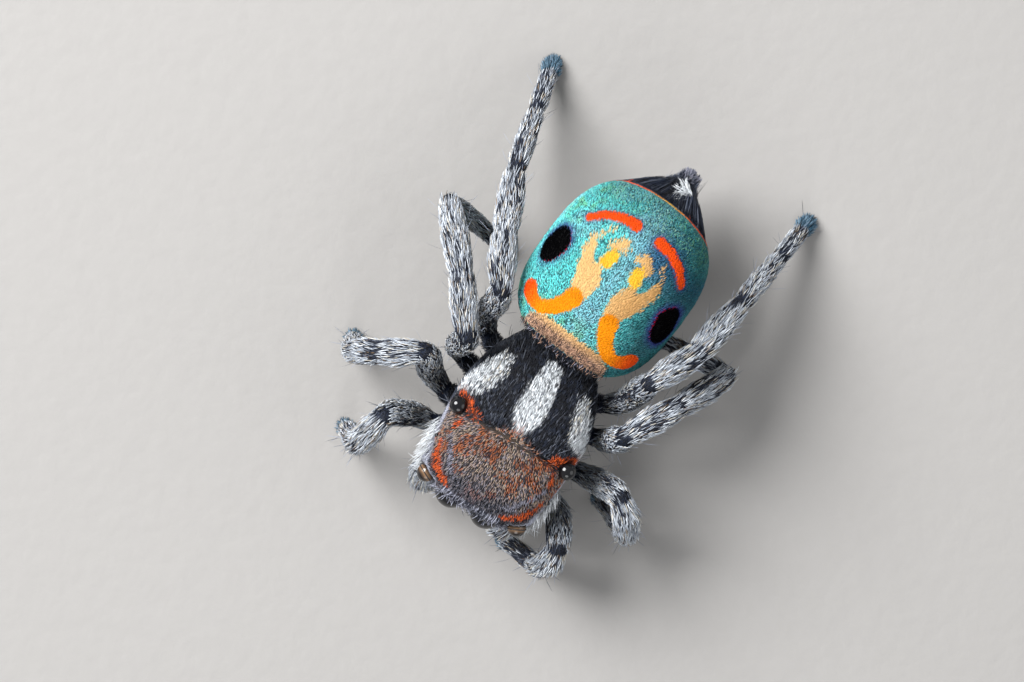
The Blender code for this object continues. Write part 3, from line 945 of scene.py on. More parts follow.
def tufts(name, roots, ways, shape, colours, patch, rings=(0.35, 0.75), widths=(1.0, 0.7), glint=None):
    """A coat piece: a closed, flat, ridged tuft on each root, with small patches for the colour bake.

    shape holds length, width, thickness, lift in radians, droop and sideways bend. Each is a number, or a
    number for each tuft.
    """
    count, stations = len(roots), len(rings)
    length, width, thick, lift, droop, bend = (np.broadcast_to(given, count)[:, None] for given in shape)
    ways = flattened(ways, roots.outs)
    sides = np.cross(ways, roots.outs)
    per = 3 * stations + 2
    places = np.empty((count, per, 3))

    def at(share):
        rise = np.sin(lift) * share - droop * share**2
        offset = np.cos(lift) * share * ways + rise * roots.outs + bend * share**2 * sides
        return roots.places + length * offset

    places[:, 0] = roots.places - 0.3 * thick * roots.outs - 0.004 * roots.outs
    for number, (share, wide) in enumerate(zip(rings, widths)):
        centre = at(share)
        places[:, 3 * number + 1] = centre - width * wide / 2 * sides
        places[:, 3 * number + 2] = centre + width * wide / 2 * sides
        places[:, 3 * number + 3] = centre + thick * wide * roots.outs
    places[:, -1] = at(1.0)
    places[:, :, 2] = np.maximum(places[:, :, 2], 0.003)
    corner = [(0, 1 + (k + 1) % 3, 1 + k) for k in range(3)]
    for number in range(stations - 1):
        for k in range(3):
            low, after = 1 + 3 * number + k, 1 + 3 * number + (k + 1) % 3
            corner += [(low, after, after + 3), (low, after + 3, low + 3)]
    last = 1 + 3 * (stations - 1)
    corner += [(last + k, last + (k + 1) % 3, per - 1) for k in range(3)]
    corner = np.array(corner)[:, ::-1]
    faces = (np.arange(count)[:, None, None] * per + corner).reshape(-1, 3)
    mesh = mesh_from(name, places.reshape(-1, 3), faces)
    add_tint(mesh, np.repeat(colours, per, axis=0))
    along = np.array([0, *np.repeat(rings, 3), 1])
    add_number(mesh, "along", np.tile(along, count))
    add_number(mesh, "chance", np.repeat(roots.chance, per))
    if glint is not None:
        add_number(mesh, "glint", np.repeat(glint, per))
    across = np.array([0, *np.tile((-1.0, 1.0, 0.0), stations), 0])
    offsets = 0.0015 * np.column_stack([across, 2 * along - 1])
    flat = np.clip(patch[:, None] + offsets, 0, 1).reshape(-1, 2)
    mesh.uv_layers.new(name="OFBake").data.foreach_set("uv", flat[faces.ravel()].astype(np.float32).ravel())
    return mesh


# Scales and short hairs have one ring of corners along their length
ONE_RING = {"rings": (0.5,), "widths": (1.0,)}


def grow(name, material, slot, roots, ways, shape, colours, patch, **more):
    """A finished coat piece."""
    new_piece(name, tufts(name, roots, ways, shape, colours, patch, **more), material, slot)


def abdomen_patch(roots):
    return ball_patch(roots.places, ABDOMEN_CENTRE + ABDOMEN_SHIFT, ABDOMEN_HALF)


def head_patch(roots):
    return ball_patch(roots.places, HEAD_MIDDLE, HEAD_HALF)


def shaded(colour, roots, low, high):
    """One colour for each root, at its own strength."""
    return alike(colour, roots) * roots.spread(low, high)[:, None]


# Markings, for skin and coat alike


def lifted(path, tree, missed, world=None):
    """A path given as seen from above, laid on a surface. missed is its height where it lies beside that."""
    rows = []
    for x, y, half in path:
        over = world(x, y, 0) if world else (x, y)
        found = tree.ray_cast(Vector((over[0], over[1], 10)), Vector((0, 0, -1)))[0]
        rows.append((x, y, found.z if found else missed, half))
    return rows


ABDOMEN_TOP = surface_tree("abdomen", abdomen_own)
SPOT, FRONT_MARK, REAR_MARK, YELLOW, ISLAND, THIN_TAN, *TANS = (
    lifted(path, ABDOMEN_TOP, 1.2)
    for path in (
        SPOT_PATH,
        FRONT_MARK_PATH,
        REAR_MARK_PATH,
        YELLOW_PATH,
        ISLAND_PATH,
        THIN_TAN_PATH,
        *TAN_PATHS,
    )
)
HEAD_TOP = surface_tree("cephalothorax")
STRIPE, SIDE_PATCH, EYE_ORANGE, EYE_FRONT, MARGIN_ORANGE, MARGIN_PALE = (
    lifted(path, HEAD_TOP, 1.4, HEAD_FRAME.world)
    for path in (
        STRIPE_PATH,
        SIDE_PATCH_PATH,
        EYE_ORANGE_PATH,
        EYE_FRONT_PATH,
        MARGIN_ORANGE_PATH,
        MARGIN_PALE_PATH,
    )
)


def rim_height(own):
    """Height of the edge of the abdomen's patterned top, in the abdomen's own frame."""
    raised = soft_step(own[:, 1], 1.15, 1.98) * soft_step(-np.abs(own[:, 0]), -0.98, -0.36)
    return RIM_HEIGHT_SIDE + (RIM_HEIGHT_REAR - RIM_HEIGHT_SIDE) * raised


def abdomen_look(places, colours, chance=None):
    """Colours of places on the abdomen, their glint, which are long tan hairs and which are deep black."""
    own = abdomen_own(places)
    folded = np.column_stack([np.abs(own[:, 0]), own[:, 1], own[:, 2]])
    side, rear, height = folded.T
    chance = np.full(len(places), 0.5) if chance is None else chance
    specks = chance * 7 % 1
    ragged = 0.016 * (noise(places, 0.035, 11) - 0.5) + 0.012 * (chance - 0.5)
    broad, fine = noise(places, 0.40, 12), noise(places, 0.09, 13)

    tint = alike(colours.teal, places)
    tint = lay(tint, colours.sky, np.clip(0.75 * inside(side - 0.16, 0.26) + 0.45 * (broad > 0.62), 0, 0.8))
    edge = inside(0.62 - side, 0.25) * inside(1.25 - rear, 0.4) + 0.7 * inside(rear - 0.30, 0.2)
    tint = lay(tint, colours.leaf, 0.65 * np.clip(edge, 0, 1) * soft_step(fine, 0.42, 0.68))
    # Painted shade: on the +X side and towards the rear the scales turn from the light, and are laid with sea and,
    # between spot and bar, with navy.
    turned = 0.82 * soft_step(own[:, 0] + 0.10 * (broad - 0.5), 0.0, 0.75)
    rearward = 0.50 * soft_step(rear, 1.45, 2.0)
    deep_blue = soft_step(own[:, 0], -0.05, 0.25) * inside(1.15 - rear, 0.5) * inside(rear - 1.80, 0.3)
    tint = lay(tint, colours.navy, 0.85 * deep_blue * soft_step(broad + 0.3 * (specks - 0.5), 0.30, 0.6))
    tint = lay(tint, colours.sea, 1 - (1 - turned) * (1 - rearward))
    tint = lay(tint, colours.leaf, 0.4 * soft_step(rear, 1.5, 1.8) * (specks > 0.75))
    tint = lay(tint, colours.sea, 0.80 * (specks + 0.35 * fine < 0.34))
    # Painted glints: sparse white specks, only on the side towards the light.
    tint = lay(tint, colours.white, 0.22 * (specks > 0.90) * (1 - turned))

    spot = stroke(folded, SPOT)
    bar = stroke(folded, REAR_MARK)
    tint = lay(tint, colours.violet, 0.45 * inside(bar - 0.03 + ragged, 0.08))
    tint = lay(tint, colours.violet, (0.55 + 0.4 * (broad > 0.5)) * inside(spot - 0.045 + 2 * ragged, 0.10))
    uneven = 2.5 + 2.5 * soft_step(rear, 0.7, 1.0)
    tan = np.min([stroke(folded, path) for path in TANS], axis=0) + uneven * ragged
    broken = stroke(folded, THIN_TAN) + 0.16 * np.clip(fine + 0.8 * (specks - 0.5), 0.25, 1) - 0.04
    tan = np.minimum(tan, broken)
    tan = np.maximum(tan, -stroke(folded, ISLAND))
    band_edge = BAND_REAR - 0.09 * np.clip((side - 0.38) / 0.15, 0, 1)
    tan = np.minimum(tan, np.maximum.reduce([rear - band_edge, BAND_FRONT - rear, side - 0.55]) + 2 * ragged)
    is_tan = inside(tan, 0.015)
    # Painted shade: the tan marks darken towards the +X side, turned from the light.
    tan_shade_share = soft_step(own[:, 0], -0.1, 0.4)
    tint = lay(tint, between(colours.tan, np.array(colours.tan) * TAN_SHADE, tan_shade_share), is_tan)
    near_front = inside(rear - 0.04, 0.16)
    tint = lay(tint, colours.rose, is_tan * near_front * 0.9)
    tint = lay(tint, colours.slate, is_tan * near_front * (specks < 0.24) * 0.9)
    on_yellow = inside(stroke(folded, YELLOW) + 2.0 * ragged, 0.015)
    tint = lay(tint, colours.yellow, on_yellow)
    on_front = inside(stroke(folded, FRONT_MARK) + 0.6 * ragged, 0.012)
    warm = soft_step(side, 0.45, 0.78)
    tint = lay(tint, between(colours.orange, colours.red, warm), on_front)
    on_bar = inside(bar + 0.6 * ragged, 0.012)
    tint = lay(tint, colours.red, on_bar)
    on_spot = inside(spot + 0.6 * ragged, 0.012)
    fleck = inside(np.abs(spot + 0.002) - 0.014, 0.01) * (specks > 0.70) * (side < 0.80)
    tint = lay(tint, 0.2 * np.array(colours.black), on_spot)
    tint = lay(tint, colours.crimson, fleck)
    matte = np.max([is_tan, on_yellow, on_front, on_bar, on_spot], axis=0)
    glint = 1 - 0.92 * matte

    rim = height - rim_height(folded)
    below = np.maximum(inside(rim + 0.018, 0.012), inside(rear - BAND_FRONT + ragged, 0.02) * (side < 0.62))
    tint = lay(tint, colours.slate, below)
    tint = lay(tint, colours.grey, below * (fine > 0.60) * (specks > 0.5) * 0.6)
    tint = lay(tint, colours.cream, inside(height - 0.75, 0.3) * (fine > 0.45) * 0.5)
    line = inside(np.abs(rim) - 0.018, 0.01) * inside(1.25 - rear, 0.3)
    line_colour = between(colours.yellow, colours.red, np.clip(0.35 + 0.9 * (side - 0.1) / 0.3, 0, 1))
    tint = lay(tint, line_colour, line)
    glint = glint * (1 - below) * (1 - line)
    return np.clip(tint, 0, 1), glint, is_tan, on_spot


def head_look(places, colours, chance=None):
    """Colours of places on the head, and how much of each is white stripe or patch."""
    own = HEAD_FRAME.own(places)
    folded = np.column_stack([np.abs(own[:, 0]), own[:, 1], own[:, 2]])
    side, behind, height = folded.T
    chance = np.full(len(places), 0.5) if chance is None else chance
    pick = chance * 7 % 1
    ragged = 0.035 * (noise(places, 0.05, 21) - 0.5) + 0.035 * (chance - 0.5)
    clumps, fine = noise(places, 0.13, 22), noise(places, 0.045, 23)

    tint = alike(colours.dust, places)
    tint = lay(tint, colours.haze, 0.7 * (pick > 0.80))
    tint = lay(tint, colours.cream, 0.45 * (pick > 0.62) * (pick < 0.72))
    tint = lay(tint, colours.rust, 0.92 * (clumps + 0.45 * (chance - 0.5) > 0.68))
    front = inside(behind - 0.36 + 0.15 * (clumps - 0.5), 0.30)
    tint = lay(tint, 0.47 * np.array(colours.haze), 0.85 * front * (pick > 0.30))
    tint = lay(tint, colours.slate, 0.92 * (pick < 0.34 + 0.22 * front))
    border = BAND_START + 0.09 * np.exp(-((side / 0.18) ** 2)) - 0.06 * np.clip(side / 0.64, 0, 1) ** 2
    band = inside(border - behind + ragged, 0.02)
    tint = lay(tint, colours.rust, inside(border - behind - 0.03 + 2 * ragged, 0.04) * (pick > 0.5) * 0.8)
    tint = lay(tint, colours.slate, band)
    tint = lay(tint, colours.black, band * (fine > 0.45) * 0.7)
    tint = lay(tint, colours.grey, band * (pick > 0.80) * (clumps > 0.42) * inside(behind - 1.75, 0.2) * 0.6)
    flank = inside(height - 1.50 + 0.30 * np.clip(behind - 1.2, 0, 1) + ragged, 0.1)
    tint = lay(tint, colours.slate, flank)
    tint = lay(tint, colours.grey, flank * (fine > 0.52) * 0.8)
    pale = np.minimum(stroke(folded, STRIPE) + 1.3 * ragged, stroke(folded, SIDE_PATCH) + 2.6 * ragged)
    white = inside(pale, 0.02)
    cheek = np.maximum.reduce([behind - 0.95, 1.44 - height, height - 1.79 + 0.2 * behind])
    cheek = inside(cheek + ragged, 0.04) * (side > 0.5)
    tint = lay(tint, colours.haze, cheek)
    tint = lay(tint, colours.mist, cheek * (fine + 0.5 * pick > 0.45))
    tint = lay(tint, colours.haze, inside(stroke(folded, MARGIN_PALE) + ragged, 0.02) * (pick > 0.2))
    tint = lay(tint, colours.white, white)
    tint = lay(tint, colours.slate, white * (pick < 0.07 + 0.10 * (side > 0.4)) * 0.9)
    tint = lay(tint, colours.cream, white * (side > 0.4) * (pick > 0.85) * inside(side - 0.66, 0.1) * 0.7)
    tint = lay(tint, colours.rust, white * inside(behind - 1.17, 0.08) * (pick > 0.6) * 0.6)
    face = inside(behind - 0.10, 0.1) * inside(height - 1.62, 0.1)
    tint = lay(tint, 0.75 * np.array(colours.haze), face * 0.9)
    tint = lay(tint, colours.mist, face * (fine + 0.4 * chance > 0.72) * 0.6)
    ember = np.min([stroke(folded, path) for path in (EYE_ORANGE, EYE_FRONT, MARGIN_ORANGE)], axis=0) + ragged
    tint = lay(tint, colours.ember, inside(ember, 0.02) * (pick > 0.20) * (1 - white))
    under = inside(height - 0.80, 0.1)
    tint = lay(tint, colours.slate, under * 0.8)
    return np.clip(tint, 0, 1), white


def leg_look(limb, marks, around, places, colours, chance):
    """Colours of hairs on a leg, which of them are pale and lie on top, and which are on a bare joint."""
    streak = noise(np.column_stack([marks * 1.3, around * 1.3, 0 * marks + 3 * limb]), 0.30, 31)
    broad = noise(places, 0.28, 32)
    pick = chance * 13 % 1
    window = noise(np.column_stack([marks, around * 0.55, 0 * marks + 5 * limb]), 0.42, 33)
    lightness = 0.6 * (streak - 0.5) + 0.75 * (chance - 0.5) + 0.4 * (broad - 0.5) + 0.55 * (window - 0.5)
    # Painted shade: the first left leg, which lies in the head's shadow, has fewer pale hairs.
    pale = lightness > 0.03 + 0.15 * (limb == 0)
    joint = np.abs(marks - np.round(marks))
    width = np.where(marks > 2.5, 0.065, 0.038) * (0.45 + 1.1 * noise(places, 0.06, 34))
    bare = (joint < width) & (np.round(marks) >= 1) & (marks < 4.6) & (chance * 31 % 1 > 0.10)
    pale = pale & ~bare & (marks > 0.10) & (marks < 4.80)
    tint = alike(colours.slate, marks)
    tint = lay(tint, colours.black, np.maximum((chance * 5 % 1 > 0.5) * 0.7, bare * 0.6))
    tint = lay(tint, colours.grey, (chance * 29 % 1 > 0.80) * ~bare * 0.7)
    tint = lay(tint, colours.silver, pale * (0.35 + 0.65 * pick))
    tint = lay(tint, colours.white, pale * (pick > 0.82) * 0.6)
    tint = lay(tint, colours.cream, pale * (chance * 17 % 1 > 0.86) * 0.45)
    tint = lay(tint, colours.gold, (chance * 23 % 1 > 0.95) * ~bare * 0.7)
    tint = lay(tint, colours.pad, soft_step(marks, PAD_START, 4.9))
    return tint, pale, bare


# Operators, one for each piece or group of like pieces


class Store:
    """The skin, kept for the coats that grow on it."""

    skin = None


def need_skin():
    if Store.skin is None:
        raise RuntimeError("the skin has to be made before its coat")
    return Store.skin


def skin_tint(skin, colours):
    """The colours of the coat, darkened, as the skin shows between its hairs."""
    tint = alike(colours.slate, skin.places)
    chosen = skin.region == ABDOMEN
    looks, glint = abdomen_look(skin.places[chosen], colours)[:2]
    tint[chosen] = (0.85 - 0.65 * glint[:, None]) * looks
    chosen = skin.region == HEAD
    looks, white = head_look(skin.places[chosen], colours)
    tint[chosen] = (0.12 + 0.65 * white[:, None]) * looks
    return tint


class SPIDER_OT_skin(bpy.types.Operator):
    """One skin over head, abdomen, legs, palps and spinnerets"""

    bl_idname = "spider.skin"
    bl_label = "Skin"

    def execute(self, context):
        choice, _, colours = settings()
        skin = Skin(*skin_shape(choice.grain / MM, choice.smoothing))
        on_body = (skin.region == HEAD) | (skin.region == ABDOMEN)
        skin.places = skin.places - np.where(on_body, choice.body_depth / MM, 0)[:, None] * skin.outs
        skin.places[:, 2] = np.maximum(skin.places[:, 2], 0.004)
        mesh = mesh_from("spider_skin", skin.places, skin.faces)
        add_tint(mesh, skin_tint(skin, colours))
        nodes = [*BODIES, *PALPS, *(f"{name}_{word}" for name in LEGS for word in LEG_WORDS)]
        new_piece("spider_skin", mesh, skin_material(), "carapace", *nodes)
        Store.skin = skin
        return {"FINISHED"}


def abdomen_scales(skin, chosen, coat, colours):
    """Scales that lie rearwards and outwards, flat and short at the rim, longer where they are tan."""
    roots = skin.scatter(coat.scale_step / MM, 41, chosen)
    tint, glint, tan, deep = abdomen_look(roots.places, colours, roots.chance)
    own = abdomen_own(roots.places)
    ways = np.column_stack([0.9 * own[:, 0], np.ones(len(roots)), np.zeros(len(roots))])
    ways[:, 0] += roots.spread(-0.30, 0.30)
    ways = ways @ ABDOMEN_TURN.T
    near_rim = 1 - soft_step(own[:, 2] - rim_height(own), 0.02, 0.12)
    size = coat.scale_length / MM * roots.spread(0.75, 1.25) * (1 + 0.45 * tan) * (1 - 0.5 * near_rim)
    wide = coat.scale_width / MM * roots.spread(0.8, 1.2) * (1 - 0.20 * tan)
    lift = np.radians(roots.spread(9, 20) + 4 * tan) * (1 - 0.8 * near_rim)
    bend = roots.spread(-0.1, 0.1)
    patch = abdomen_patch(roots)
    deep = deep > 0.5
    for name, on, material in (
        ("abdomen_scales", ~deep, scale_material("abdomen scales")),
        ("abdomen_spots", deep, velvet_material("abdomen spots")),
    ):
        some = roots.only(on)
        shape = (size[on], wide[on], 0.005, lift[on], 0.10, bend[on])
        look = {"glint": glint[on], **ONE_RING}
        grow(name, material, "abdomen", some, ways[on], shape, tint[on], patch[on], **look)


def abdomen_under_hair(skin, chosen, hair, colours):
    roots = skin.scatter(0.034, 42, chosen)
    tint = abdomen_look(roots.places, colours, roots.chance)[0]
    ways = alike((0.0, 1.0, -0.4), roots)
    ways[:, 0] += roots.spread(-0.2, 0.2)
    length = roots.spread(0.08, 0.14)
    shape = (length, 0.014, 0.006, np.radians(roots.spread(7, 16)), 0.10, roots.spread(-0.1, 0.1))
    grow("abdomen_under_hair", hair, "abdomen", roots, ways, shape, tint, abdomen_patch(roots))


def abdomen_rear_hair(skin, chosen, hair, colours):
    """Dark hair that runs together over the spinnerets."""
    roots = skin.scatter(0.021, 45, chosen)
    ways = REAR_FUR_END - roots.places
    reach = np.linalg.norm(ways, axis=1)
    lift = np.arcsin(np.clip(dot(unit(ways), roots.outs), 0.10, 0.85))
    tint = lay(alike(colours.slate, roots), colours.black, (roots.chance < 0.45) * 0.8)
    tint = lay(tint, colours.grey, (roots.chance > 0.75) * 0.4)
    ways = ways + roots.jitter(0.12)
    reach = np.minimum(0.42, reach * roots.spread(0.35, 0.92))
    shape = (reach, 0.0095, 0.005, lift, 0.02, roots.spread(-0.08, 0.08))
    grow("abdomen_rear_hair", hair, "abdomen", roots, ways, shape, tint, abdomen_patch(roots))


def abdomen_front_fringe(skin, chosen, hair, coat, colours):
    """Rose and black hairs at the front edge, and longer black bristles on the band behind it."""
    roots = skin.scatter(0.040, 43, chosen)
    roots = roots.only((abdomen_own(roots.places)[:, 1] < FRINGE_REAR) | (roots.chance < 0.35))
    rear = abdomen_own(roots.places)[:, 1]
    on_band = rear > FRINGE_REAR
    pick = roots.chance
    tint = lay(alike(colours.rose, roots), colours.haze, pick > 0.86)
    tint = lay(tint, colours.black, (pick < 0.50 + 0.3 * (rear < BAND_FRONT + 0.01)) | on_band)
    ways = np.column_stack([0.35 * roots.places[:, 0], np.full(len(roots), -1.0), np.zeros(len(roots))])
    ways[:, 0] += roots.spread(-0.30, 0.30)
    length = coat.fringe_length / MM * roots.spread(0.5, 1.2) * (1 + 0.5 * on_band)
    lift = np.radians(roots.spread(8, 38))
    shape = (length, 0.0075 - 0.0015 * on_band, 0.005, lift, 0.04, roots.spread(-0.05, 0.05))
    grow("abdomen_front_fringe", hair, "abdomen", roots, ways, shape, tint, abdomen_patch(roots))


def spinneret_hair(skin, chosen, hair, colours):
    roots = skin.scatter(0.019, 44, chosen)
    tip = soft_step(roots.places[:, 1], 2.20, 2.34)
    tint = lay(alike(colours.slate, roots), colours.grey, (roots.chance > 0.60) * 0.8)
    tint = lay(tint, colours.haze, tip * (roots.chance > 0.35) * 0.7)
    ways = alike((0.0, 1.0, 0.0), roots) + roots.jitter(0.6)
    length = roots.spread(0.05, 0.10)
    shape = (length, 0.0095, 0.005, np.radians(roots.spread(15, 55)), 0.3, roots.spread(-0.2, 0.2))
    patch = ball_patch(roots.places, SPINNERET_MIDDLE, 0.25)
    grow("spinneret_hair", hair, "spinnerets", roots, ways, shape, tint, patch)


def spinneret_tip_tuft(hair, colours):
    """Grey hairs that stand out from the tip on all sides."""
    random = np.random.default_rng(47)
    outs = unit(random.normal(size=(420, 3)) + (0, 0.9, 0.7))
    roots = Roots(SPINNERET_TIP + SPINNERET_TIP_RADIUS * outs, outs, random)
    tint = lay(alike(colours.grey, roots), colours.haze, (roots.chance > 0.55) * 0.8)
    tint = lay(tint, colours.slate, (roots.chance < 0.30) * 0.9)
    ways = alike((0.0, 1.0, 0.0), roots) + roots.jitter(0.8)
    length, lift = roots.spread(0.05, 0.09), np.radians(roots.spread(15, 60))
    shape = (length, 0.009, 0.005, lift, 0.2, roots.spread(-0.2, 0.2))
    grow("spinneret_tip_tuft", hair, "spinnerets", roots, ways, shape, tint, abdomen_patch(roots))


def spinneret_white_tuft(hair, colours):
    """White hairs that fan out above the spinnerets."""
    random = np.random.default_rng(46)
    places = WHITE_TUFT + WHITE_TUFT_SIZE * random.uniform(-1, 1, (210, 3)) * (1, 0.8, 0.5)
    roots = Roots(places, alike(unit(np.array((0.0, 0.55, 0.83))), places), random)
    turn = np.radians(roots.spread(-15, 95))
    sideways = -0.8 * np.cos(turn) - 0.6 * np.sin(turn)
    rearward = 0.8 * np.sin(turn) - 0.6 * np.cos(turn)
    tint = shaded(colours.white, roots, 0.55, 1.0)
    length, lift = roots.spread(0.11, 0.23), np.radians(roots.spread(6, 28))
    shape = (length, 0.0105, 0.006, lift, 0.15, roots.spread(-0.15, 0.15))
    ways = np.column_stack([sideways, rearward, 0 * turn])
    grow("spinneret_white_tuft", hair, "spinnerets", roots, ways, shape, tint, abdomen_patch(roots))


class SPIDER_OT_abdomen_coat(bpy.types.Operator):
    """Scales on top of the abdomen, hairs round it and at its front, and the hair of the spinnerets"""

    bl_idname = "spider.abdomen_coat"
    bl_label = "Abdomen coat"

    def execute(self, context):
        skin = need_skin()
        _, coat, colours = settings()
        on = skin.region == ABDOMEN
        own = abdomen_own(skin.places)
        side, rear, height = np.abs(own[:, 0]), own[:, 1], own[:, 2]
        rim = height - rim_height(own)
        abdomen_scales(skin, on & (rim > -0.05), coat, colours)
        hair = hair_material("abdomen hair", 0.62, 0.15)
        abdomen_under_hair(skin, on & (rim <= -0.03), hair, colours)
        behind = on & (rear > 1.60) & (rim < -0.03) & (rim > -0.60) & (side < 0.66)
        abdomen_rear_hair(skin, behind, hair, colours)
        front = on & (rear < 0.10) & (side < 0.62) & (height > 1.30)
        abdomen_front_fringe(skin, front, hair, coat, colours)
        spinneret_hair(skin, skin.region == SPINNERETS, hair, colours)
        spinneret_tip_tuft(hair, colours)
        spinneret_white_tuft(hair, colours)
        return {"FINISHED"}


def head_ways(places):
    """How hair lies on the head: forwards and outwards in front of the rear eyes, backwards behind them."""
    own = HEAD_FRAME.own(places)
    sideways, behind, height = own.T
    forward = HEAD_FRAME.way(0.7 * sideways, np.minimum(behind - 1.35, -0.35), 0)
    rearward = HEAD_FRAME.way(0.25 * sideways, 1.0, 0)
    turn = inside(PARTING - behind, 0.04)[:, None]
    ways = unit(forward) * (1 - turn) + unit(rearward) * turn
    down = 0.5 * HEAD_FRAME.back - UP
    low = inside(height - 1.50, 0.3)[:, None]
    return unit(ways * (1 - low) + down * low)


def clear_of_eyes(roots, margin):
    """Which roots aren't under an eye's lens."""
    clear = np.ones(len(roots), bool)
    for name in EYES:
        clear &= np.linalg.norm(roots.places - middle(name), axis=1) > eye_radius(name) + margin
    return clear


def over_eyes(roots, ways, length):
    """Which hairs hang over one of the side eyes, as seen from above."""
    over = np.zeros(len(roots), bool)
    for name in EYES:
        if "median" in name:
            continue
        for share in (0.0, 0.5, 1.0):
            places = roots.places + share * length * flattened(ways, roots.outs) - middle(name)
            near = np.linalg.norm(places[:, :2], axis=1) < eye_radius(name) + 0.008
            over |= near & (places[:, 2] > 0)
    return over


def head_hair(name, roots, hair, coat, colours):
    """Short hairs, longer at the rear and on the white marks, and ruffled at the parting."""
    over = over_eyes(roots, head_ways(roots.places), 0.8 * coat.head_length / MM)
    tint, white = head_look(roots.places, colours, roots.chance)
    behind = HEAD_FRAME.own(roots.places)[:, 1]
    grown = 1 + 0.5 * inside(1.0 - behind, 0.1) + 0.7 * white
    parting = np.exp(-(((behind - PARTING) / 0.05) ** 2))
    size = coat.head_length / MM * roots.spread(0.7, 1.25) * grown * (1 - 0.45 * over)
    wide = coat.head_width / MM * roots.spread(0.8, 1.2) * (1 + 0.25 * white)
    lift = np.radians(roots.spread(10, 26) - 5 * white) * (1 - 0.6 * over)
    ways = head_ways(roots.places) + roots.jitter((0.25 - 0.12 * white + 3.0 * parting)[:, None])
    shape = (size, wide, 0.006, lift, 0.12, roots.spread(-0.12, 0.12))
    grow(name, hair, "carapace", roots, ways, shape, tint, head_patch(roots), **ONE_RING)


class SPIDER_OT_head_coat(bpy.types.Operator):
    """Short speckled hair on top of the head, with its white stripes and patches, and on its sides"""

    bl_idname = "spider.head_coat"
    bl_label = "Head coat"

    def execute(self, context):
        skin = need_skin()
        _, coat, colours = settings()
        hair = hair_material("head hair", 0.62)
        on = skin.region == HEAD
        top = on & (skin.outs[:, 2] > 0.05) & (HEAD_FRAME.own(skin.places)[:, 2] > 1.2)
        for name, chosen, step, seed in (
            ("head_top_hair", top, coat.head_step / MM, 51),
            ("head_side_hair", on & ~top, 1.35 * coat.head_step / MM, 52),
        ):
            roots = skin.scatter(step, seed, chosen)
            roots = roots.only(clear_of_eyes(roots, 0.006))
            head_hair(name, roots, hair, coat, colours)
        return {"FINISHED"}


def face_fringe(skin, chosen, hair, colours):
    """Hairs round the front eyes, which reach over the edge of the face from above."""
    roots = skin.scatter(0.020, 61, chosen)
    place = HEAD_FRAME.own(roots.places)
    ways = HEAD_FRAME.way(0.4 * place[:, 0], -1.0, np.where(place[:, 2] > 1.45, -0.1, -0.9))
    ways = unit(ways) + roots.jitter(0.3)
    clear = clear_of_eyes(roots, 0.004) & ~over_eyes(roots, ways, 0.12)
    roots, ways, above = roots.only(clear), ways[clear], place[clear, 2] > 1.60
    tint = lay(alike(colours.haze, roots), colours.mist, (roots.chance > 0.65) * 0.9)
    tint = lay(tint, colours.slate, (roots.chance < 0.32 + 0.18 * above) * 0.9)
    length = roots.spread(0.09, 0.17) * (1 + 0.55 * above)
    lift = np.radians(roots.spread(15, 45) - 8 * above)
    shape = (length, 0.009, 0.005, lift, np.where(above, 0.45, 0.2), roots.spread(-0.1, 0.1))
    grow("face_fringe", hair, "carapace", roots, ways, shape, tint, head_patch(roots))


def cheek_bristles(skin, chosen, hair, colours):
    roots = skin.scatter(0.050, 62, chosen)
    ways = HEAD_FRAME.way(0.8 * np.sign(HEAD_FRAME.own(roots.places)[:, 0]), -0.9, 0.1)
    ways = unit(ways) + roots.jitter(0.3)
    clear = clear_of_eyes(roots, 0.004) & ~over_eyes(roots, ways, 0.2)
    roots, ways = roots.only(clear), ways[clear]
    tint = shaded(colours.white, roots, 0.60, 0.95)
    length, lift = roots.spread(0.16, 0.30), np.radians(roots.spread(18, 48))
    shape = (length, 0.010, 0.006, lift, 0.1, roots.spread(-0.1, 0.1))
    grow("cheek_bristles", hair, "carapace", roots, ways, shape, tint, head_patch(roots))


def head_long_hair(skin, chosen, hair, colours):
    roots = skin.scatter(0.20, 63, chosen)
    roots = roots.only(clear_of_eyes(roots, 0.01))
    tint = shaded(colours.grey, roots, 0.2, 0.9)
    ways = head_ways(roots.places) + roots.jitter(0.5)
    length, lift = roots.spread(0.14, 0.26), np.radians(roots.spread(25, 60))
    shape = (length, 0.008, 0.005, lift, 0.15, roots.spread(-0.2, 0.2))
    grow("head_long_hair", hair, "carapace", roots, ways, shape, tint, head_patch(roots))


class SPIDER_OT_face_hair(bpy.types.Operator):
    """Fringes round the front eyes, cheek bristles and the long hairs of the head's sides and rear"""

    bl_idname = "spider.face_hair"
    bl_label = "Face hair"

    def execute(self, context):
        skin = need_skin()
        colours = settings()[2]
        hair = hair_material("face bristles", 0.5)
        own = HEAD_FRAME.own(skin.places)
        side, behind, height = np.abs(own[:, 0]), own[:, 1], own[:, 2]
        on = skin.region == HEAD
        brow = on & (behind < 0.16) & (height > 0.98) & (height < 1.90) & (side < 0.86)
        face_fringe(skin, brow & ((side < 0.40) | (height < 1.60)), hair, colours)
        cheek = on & (side > 0.55) & (behind < 0.75) & (behind > -0.02) & (height > 1.25) & (height < 1.72)
        cheek_bristles(skin, cheek, hair, colours)
        rear = on & (behind > 0.9) & (height > 0.9) & (skin.outs[:, 2] > -0.3)
        head_long_hair(skin, rear, hair, colours)
        return {"FINISHED"}


def limb_values(roots, limb):
    """Which way the limb runs at each root, how far along and round it that is, and where on its unwrap."""
    found, _ = limb.nearest(roots.places)
    marks, around = limb.marks[found], limb.around(roots.places, found)
    return limb.ways[found], marks, around, limb_patch(marks, around, limb.lengths)


